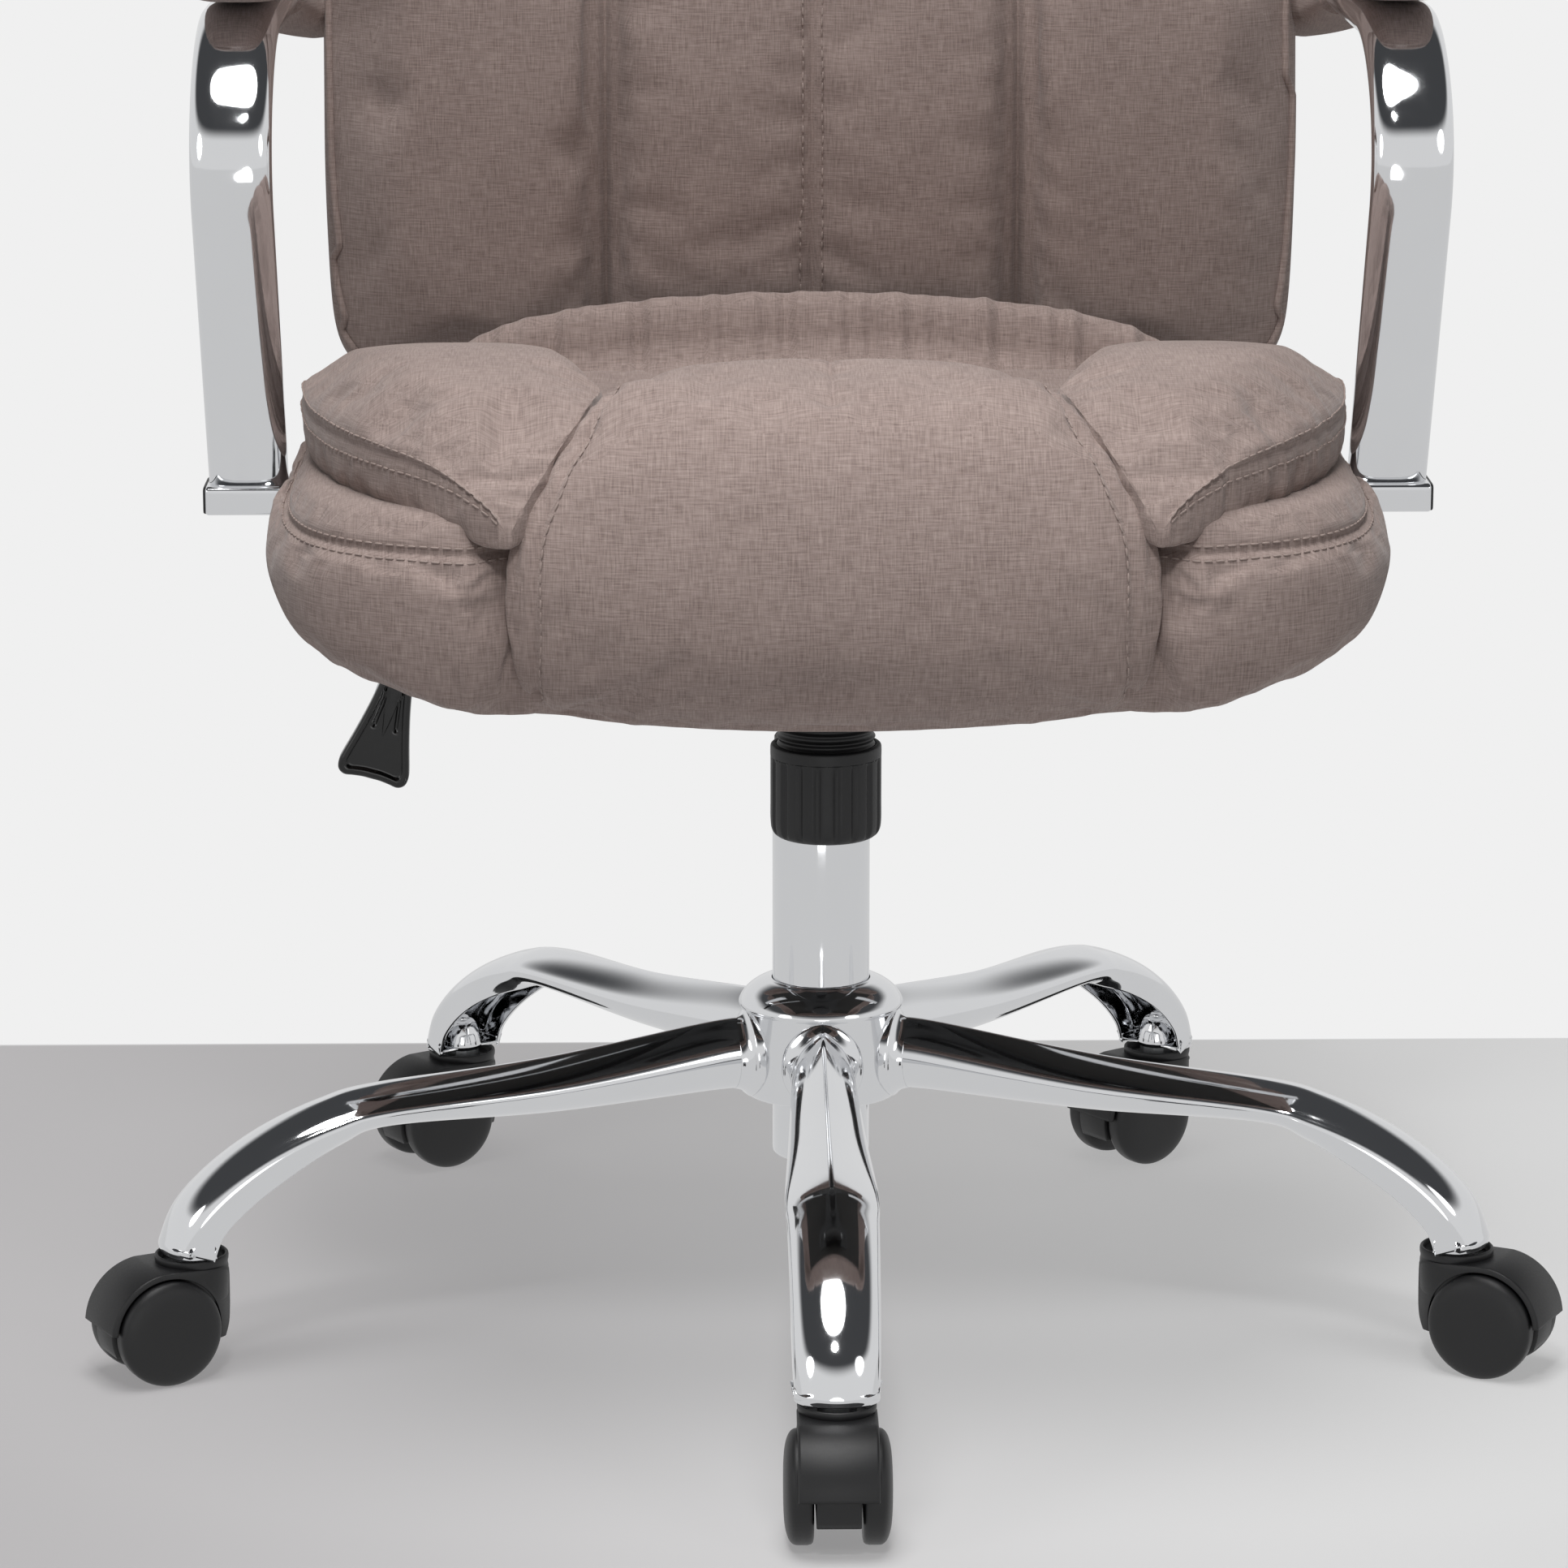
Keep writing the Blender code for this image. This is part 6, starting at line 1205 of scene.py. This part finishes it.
def make_knob():
    """Knob and threaded sleeve: turned profiles whose radius dips with the turn or the height."""
    y = (KNOB_LOW[1] + KNOB_HIGH[1]) / 2.0
    low, high = KNOB_LOW[2], KNOB_HIGH[2]
    profile = skinned(np.array((
        (0.0249, high), (0.0262, high), (0.0273, high - 0.0008), (0.0275, high - 0.0030), (0.0275, high - 0.0060),
        (0.0275, high - 0.0085), (0.0275, low + 0.0200), (0.0275, low + 0.0090), (0.0267, low + 0.0040),
        (0.0245, low + 0.0014), (0.0205, low + 0.0004), (0.0100, low), (0.0001, low))), 4)
    points = revolved(profile, KNOB_SIDES)
    turn = np.linspace(0.0, TURN, KNOB_SIDES, endpoint=False)[None, :]
    z = profile[:, 1:2]
    share = ease((high - 0.0058 - z) / 0.0022) * ease((z - low - 0.0012) / 0.004)
    flute = 0.0013 * np.clip(np.cos(KNOB_FLUTES * turn) * 1.5 - 0.45, 0.0, 1.0) ** 0.7 * share
    scale = 1.0 - flute / np.maximum(profile[:, :1], 0.001)
    points[..., :2] *= scale[..., None]
    inner = revolved(np.array(((0.0249, high), (0.0249, high - 0.012))), KNOB_SIDES)
    knob = [grid(part + (0.0, y, 0.0), around=True, ends=ends) for part, ends in
            ((points, (False, True)), (inner, (False, False)))]
    add_piece("grip_knob", knob, "tension_knob", "moulded_plastic", ("tension_knob",))
    low, high = SLEEVE_LOW[2], SLEEVE_HIGH[2]
    z = np.linspace(high - 0.0032, low, 160)
    groove = (0.5 + 0.5 * np.cos(TURN * (z - low) / THREAD_PITCH)) ** 0.8
    thread = 0.0245 - 0.0011 * groove * ease((high - 0.0034 - z) / 0.001)
    flange = np.array((
        (0.0214, low), (0.0214, high), (0.0296, high), (0.0300, high - 0.0004), (0.0300, high - 0.0026),
        (0.0296, high - 0.0030)))
    profile = np.concatenate((flange, np.stack((thread, z), axis=-1)))
    sleeve = grid(revolved(profile, 72) + (0.0, y, 0.0), around=True, joined=True)
    add_piece("thread_sleeve", [sleeve], "lift", "moulded_plastic", ("spring_sleeve",))


def make_paddle():
    """Height lever's paddle: a bell outline made thick, dished inside a raised rim, with two slits; it hangs aslant."""
    half = np.array((
        (0.0075, 0.0585), (0.0083, 0.0520), (0.0108, 0.0380), (0.0143, 0.0230), (0.0175, 0.0110), (0.0184, 0.0062),
        (0.0174, 0.0020), (0.0140, 0.0000), (0.0095, 0.0006), (0.0045, 0.0012), (0.0, 0.0012)))
    right = curved(half, 90)
    outline = evened(np.concatenate((right, right[-2::-1] * (-1.0, 1.0))), 200, closed=True)
    body = slab(outline, 0.0060, 0.0024, 6)
    # Both faces run in to their middle: rim, dish and flat
    heart = np.array((0.0, 0.0230))
    front = body[0]
    rows = []
    shares = np.concatenate(((0.97, 0.93, 0.90, 0.87, 0.84), np.linspace(0.81, 0.05, 20)))
    for share, dish in zip(shares, 0.0013 * ease((0.935 - shares) / 0.08)):
        flat = heart + (front[:, :2] - heart) * share
        across = np.abs(flat[:, 0]) - (0.0030 + 0.13 * (0.050 - flat[:, 1]))
        slit = 0.0012 * bell(across, 0.0010) * ease((flat[:, 1] - 0.027) / 0.003) * ease((0.047 - flat[:, 1]) / 0.003)
        rows.append(np.column_stack((flat, front[:, 2] - dish - slit * (dish > 0.001))))
    rows = np.stack(rows)
    points = np.concatenate((rows[::-1], body, rows * (1.0, 1.0, -1.0)))
    c, s = np.cos(PADDLE_LEAN), np.sin(PADDLE_LEAN)
    world = np.stack((
        -0.2305 + c * points[..., 0] + s * points[..., 1], -points[..., 2],
        PADDLE_FOOT + 0.0045 - s * points[..., 0] + c * points[..., 1]), axis=-1)
    add_piece("lever_grip", [capped(world)], "lever", "polished_plastic", ("lever_paddle",))


def make_spring():
    """Tension coil in two halves, between the cup and the tilt plate; each half stays where it is built, on no body."""
    low, high = corners("tension_spring")
    middle = (low + high) / 2.0
    halves = (("lower", 0.0, "tension_cup", "lift", ("tension_spring",)), ("upper", 0.5, "lift", "tilt", ()))
    for half, first, body_a, body_b, hides in halves:
        share = np.linspace(first, first + 0.5, 161)
        turn = TURN * COIL_TURNS * share
        line = np.stack((
            middle[0] + COIL_RADIUS * np.cos(turn), middle[1] + COIL_RADIUS * np.sin(turn),
            low[2] + COIL_WIRE + (high[2] - low[2] - 2.0 * COIL_WIRE) * share), axis=-1)
        name = f"spring_coil_{half}"
        coil = capped(swept(line, ring(COIL_WIRE, 12), (0.0, 0.0, 1.0)))
        thing = add_object(name, mesh_of(name, coil), finish("turned_steel"))
        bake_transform(thing)
        if hides:
            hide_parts(*hides)


# Frame nodes that stay

KEPT_FINISHES = {
    "turned_steel": ("castor_axle", "castor_stem", "gas_cylinder", "lever_rod", "piston_rod", "release_pin",
                     "spring_cup", "thrust_bearing", "tilt_pivot_shaft"),
    "painted_steel": ("mechanism_housing", "tilt_plate"),
    "moulded_plastic": ("column_bush", "lever_bush"),
    "plywood": ("seat_board",),
}


def dress_frame():
    """Gives each CAD node that stays in sight the material of its finish."""
    for slot, starts in KEPT_FINISHES.items():
        material = finish(slot)
        for name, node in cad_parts.items():
            if name.startswith(starts):
                if not node.material_slots:
                    node.data.materials.append(material)
                for place in node.material_slots:
                    place.material = material


# Stage

LENS_MM, SENSOR_MM = 132.3, 36.0
CAMERA_PLACE, CAMERA_LOOK = (-0.0663, -2.8752, 0.9485), (0.0160, 0.9738, -0.2272)
FLOOR_LOW, FLOOR_HIGH = (-12.0, -12.0), (12.0, 14.0)
# Lamps: name, kind, place, aim, watts and settings
LAMPS = (
    ("key_softbox", "AREA", (-0.15, -0.55, 2.9), (0.0, -0.15, 0.5), 49.0, {"shape": "DISK", "size": 1.6}),
    ("seat_spot", "SPOT", (-0.1, -1.6, 2.3), (0.0, -0.26, 0.48), 76.0, {
        "spot_size": np.radians(23.0), "spot_blend": 0.9, "shadow_soft_size": 0.2}),
    ("front_softbox", "AREA", (0.0, -2.2, 0.2), (0.0, 0.0, 0.45), 2.5, {"shape": "DISK", "size": 0.8}),
    ("right_softbox", "AREA", (1.9, -1.9, 1.5), (0.0, 0.0, 0.4), 4.0, {"shape": "DISK", "size": 1.0}),
    ("left_softbox", "AREA", (-2.2, -1.6, 1.3), (0.0, 0.0, 0.4), 6.0, {"shape": "DISK", "size": 1.0}),
)


def floor_material():
    """Matt studio floor with painted shade and light: its colour darkens to the left, for the camera it partly glows in
    its own colour, more towards the back, and it fades to the pale background behind the chair.
    """
    material, tree, shader = new_material("studio_floor")
    if tree is None:
        return material
    colours = bpy.context.scene.chair_colours
    place = add_node(tree, "ShaderNodeSeparateXYZ", {
        "Vector": add_node(tree, "ShaderNodeTexCoord").outputs["Object"]})
    across = add_node(tree, "ShaderNodeMapRange", {
        "Value": place.outputs["X"], "From Min": -0.45, "From Max": 0.45}, interpolation_type="SMOOTHSTEP")
    behind = add_node(tree, "ShaderNodeMapRange", {
        "Value": place.outputs["Y"], "From Min": 0.498, "From Max": 0.502})
    ground = add_node(tree, "ShaderNodeMix", {
        0: across.outputs["Result"], 6: rgba(colours.floor_painted_shade), 7: rgba(colours.floor_painted_light)}, data_type="RGBA")
    tint = add_node(tree, "ShaderNodeMix", {
        0: behind.outputs["Result"], 6: ground.outputs[2], 7: rgba(colours.wall)}, data_type="RGBA")
    path = add_node(tree, "ShaderNodeLightPath")
    # Painted light: camera rays see the floor partly glowing in its own colour, a larger share towards the back, which
    # lightens the far floor and softens its shadows
    level = add_node(tree, "ShaderNodeMapRange", {
        "Value": place.outputs["Y"], "From Min": -0.9, "From Max": 0.5, "To Min": 0.25, "To Max": 0.55})
    level = add_node(tree, "ShaderNodeMath", {
        0: level.outputs["Result"], 1: behind.outputs["Result"]}, operation="MAXIMUM")
    seen = add_node(tree, "ShaderNodeMath", {
        0: path.outputs["Is Camera Ray"], 1: level.outputs[0]}, operation="MULTIPLY")
    share = add_node(tree, "ShaderNodeMath", {
        0: seen.outputs[0], 1: path.outputs["Is Glossy Ray"]}, operation="MAXIMUM")
    # Painted reflection: polished metal sees a pale glowing floor instead of the grey one
    shown = add_node(tree, "ShaderNodeMix", {
        0: path.outputs["Is Glossy Ray"], 6: tint.outputs[2], 7: rgba(linear("DADADA"))}, data_type="RGBA")
    glow = add_node(tree, "ShaderNodeEmission", {"Color": shown.outputs[2], "Strength": 1.0})
    tree.links.new(tint.outputs[2], shader.inputs["Base Color"])
    shader.inputs["Roughness"].default_value = 0.8
    shader.inputs["Specular IOR Level"].default_value = 0.1
    mix = add_node(tree, "ShaderNodeMixShader", {
        0: share.outputs[0], 1: shader.outputs["BSDF"], 2: glow.outputs["Emission"]})
    tree.links.new(mix.outputs[0], tree.nodes["Material Output"].inputs["Surface"])
    return material


def make_world():
    """Pale surroundings; polished metal also sees a dark ceiling between the lamps."""
    world = bpy.data.worlds.new("studio")
    bpy.context.scene.world = world
    world.use_nodes = True
    tree = world.node_tree
    path = add_node(tree, "ShaderNodeLightPath")
    up = add_node(tree, "ShaderNodeSeparateXYZ", {
        "Vector": add_node(tree, "ShaderNodeTexCoord").outputs["Generated"]})
    ceiling = add_node(tree, "ShaderNodeMapRange", {
        "Value": up.outputs["Z"], "From Min": 0.42, "From Max": 0.62}, interpolation_type="SMOOTHSTEP")
    seen = add_node(tree, "ShaderNodeMix", {
        0: ceiling.outputs["Result"], 6: rgba(linear("E6E6E6")), 7: rgba(linear("454648"))}, data_type="RGBA")
    plain = add_node(tree, "ShaderNodeMix", {
        0: path.outputs["Is Glossy Ray"], 6: rgba(linear("575757")), 7: seen.outputs[2]}, data_type="RGBA")
    tint = add_node(tree, "ShaderNodeMix", {
        0: path.outputs["Is Camera Ray"], 6: plain.outputs[2],
        7: rgba(bpy.context.scene.chair_colours.wall)}, data_type="RGBA")
    tree.links.new(tint.outputs[2], tree.nodes["Background"].inputs["Color"])


def aimed(name, data, place, look):
    """An object at a place, turned to look along a direction."""
    thing = bpy.data.objects.new(name, data)
    thing.location = place
    thing.rotation_euler = Vector(look).to_track_quat("-Z", "Y").to_euler()
    bpy.context.scene.collection.objects.link(thing)
    return thing


def make_stage():
    """Camera at the photograph's angle, a flat floor, pale surroundings and soft lamps."""
    scene = bpy.context.scene
    scene.view_settings.view_transform = "Standard"
    lens = bpy.data.cameras.new("photo_camera")
    lens.lens, lens.sensor_width = LENS_MM, SENSOR_MM
    scene.camera = aimed("photo_camera", lens, CAMERA_PLACE, CAMERA_LOOK)
    corner = np.array([[(x, y, 0.0) for x in (FLOOR_LOW[0], FLOOR_HIGH[0])] for y in (FLOOR_LOW[1], FLOOR_HIGH[1])])
    floor = add_object("studio_floor", mesh_of("studio_floor", grid(corner)), floor_material())
    make_world()
    for name, kind, place, aim, watts, settings in LAMPS:
        lamp = bpy.data.lights.new(name, kind)
        lamp.energy = watts
        for key, value in settings.items():
            setattr(lamp, key, value)
        aimed(name, lamp, place, Vector(aim) - Vector(place))


# Operators

class CHAIR_OT_stage(bpy.types.Operator):
    """Set up the camera, the floor and the lights"""
    bl_idname = "chair.stage"
    bl_label = "Stage"

    def execute(self, context):
        make_stage()
        return {"FINISHED"}


class CHAIR_OT_frame_finishes(bpy.types.Operator):
    """Give the CAD nodes that stay in sight their finishes"""
    bl_idname = "chair.frame_finishes"
    bl_label = "Frame finishes"

    def execute(self, context):
        dress_frame()
        return {"FINISHED"}


class CHAIR_OT_base(bpy.types.Operator):
    """Build the chrome star base: hub, arms, sockets and column tube"""
    bl_idname = "chair.base"
    bl_label = "Star base"

    def execute(self, context):
        make_base_arms()
        make_sockets()
        make_hub()
        make_column()
        return {"FINISHED"}


class CHAIR_OT_castors(bpy.types.Operator):
    """Build the five twin-wheel castors"""
    bl_idname = "chair.castors"
    bl_label = "Castors"

    def execute(self, context):
        make_castors()
        return {"FINISHED"}


class CHAIR_OT_controls(bpy.types.Operator):
    """Build the tension knob, its sleeve and spring, and the height lever's paddle"""
    bl_idname = "chair.controls"
    bl_label = "Knob, spring and lever"

    def execute(self, context):
        make_knob()
        make_paddle()
        make_spring()
        return {"FINISHED"}


class CHAIR_OT_arms(bpy.types.Operator):
    """Build the chrome arm loops and their padded rests"""
    bl_idname = "chair.arms"
    bl_label = "Arms"

    def execute(self, context):
        make_arm_loops()
        make_arm_pads()
        return {"FINISHED"}


class CHAIR_OT_seat(bpy.types.Operator):
    """Build the seat: lower body, middle panel, side pillows and rear panel"""
    bl_idname = "chair.seat"
    bl_label = "Seat"

    def execute(self, context):
        make_seat_base()
        make_seat_centre()
        make_seat_pillows()
        make_seat_rear()
        return {"FINISHED"}


class CHAIR_OT_back(bpy.types.Operator):
    """Build the back: channelled cushion and padded rear panel"""
    bl_idname = "chair.back"
    bl_label = "Back"

    def execute(self, context):
        make_back_cushion()
        make_back_panel()
        return {"FINISHED"}


STEPS = (
    CHAIR_OT_stage, CHAIR_OT_frame_finishes, CHAIR_OT_base, CHAIR_OT_castors, CHAIR_OT_controls, CHAIR_OT_arms,
    CHAIR_OT_seat, CHAIR_OT_back)


class CHAIR_PT_panel(bpy.types.Panel):
    bl_idname = "CHAIR_PT_panel"
    bl_label = "Swivel chair"
    bl_space_type = "VIEW_3D"
    bl_region_type = "UI"
    bl_category = "Chair"

    def draw(self, context):
        for step in STEPS:
            self.layout.operator(step.bl_idname)
        for group in (context.scene.chair_sizes, context.scene.chair_colours):
            for name in group.__annotations__:
                self.layout.prop(group, name)


CLASSES = (ChairSizes, ChairColours) + STEPS + (CHAIR_PT_panel,)


def register():
    for item in CLASSES:
        bpy.utils.register_class(item)
    bpy.types.Scene.chair_sizes = bpy.props.PointerProperty(type=ChairSizes)
    bpy.types.Scene.chair_colours = bpy.props.PointerProperty(type=ChairColours)


def unregister():
    del bpy.types.Scene.chair_colours
    del bpy.types.Scene.chair_sizes
    for item in reversed(CLASSES):
        bpy.utils.unregister_class(item)


def main():
    register()
    for step in STEPS:
        group, name = step.bl_idname.split(".")
        getattr(getattr(bpy.ops, group), name)()


if __name__ == "__main__":
    main()
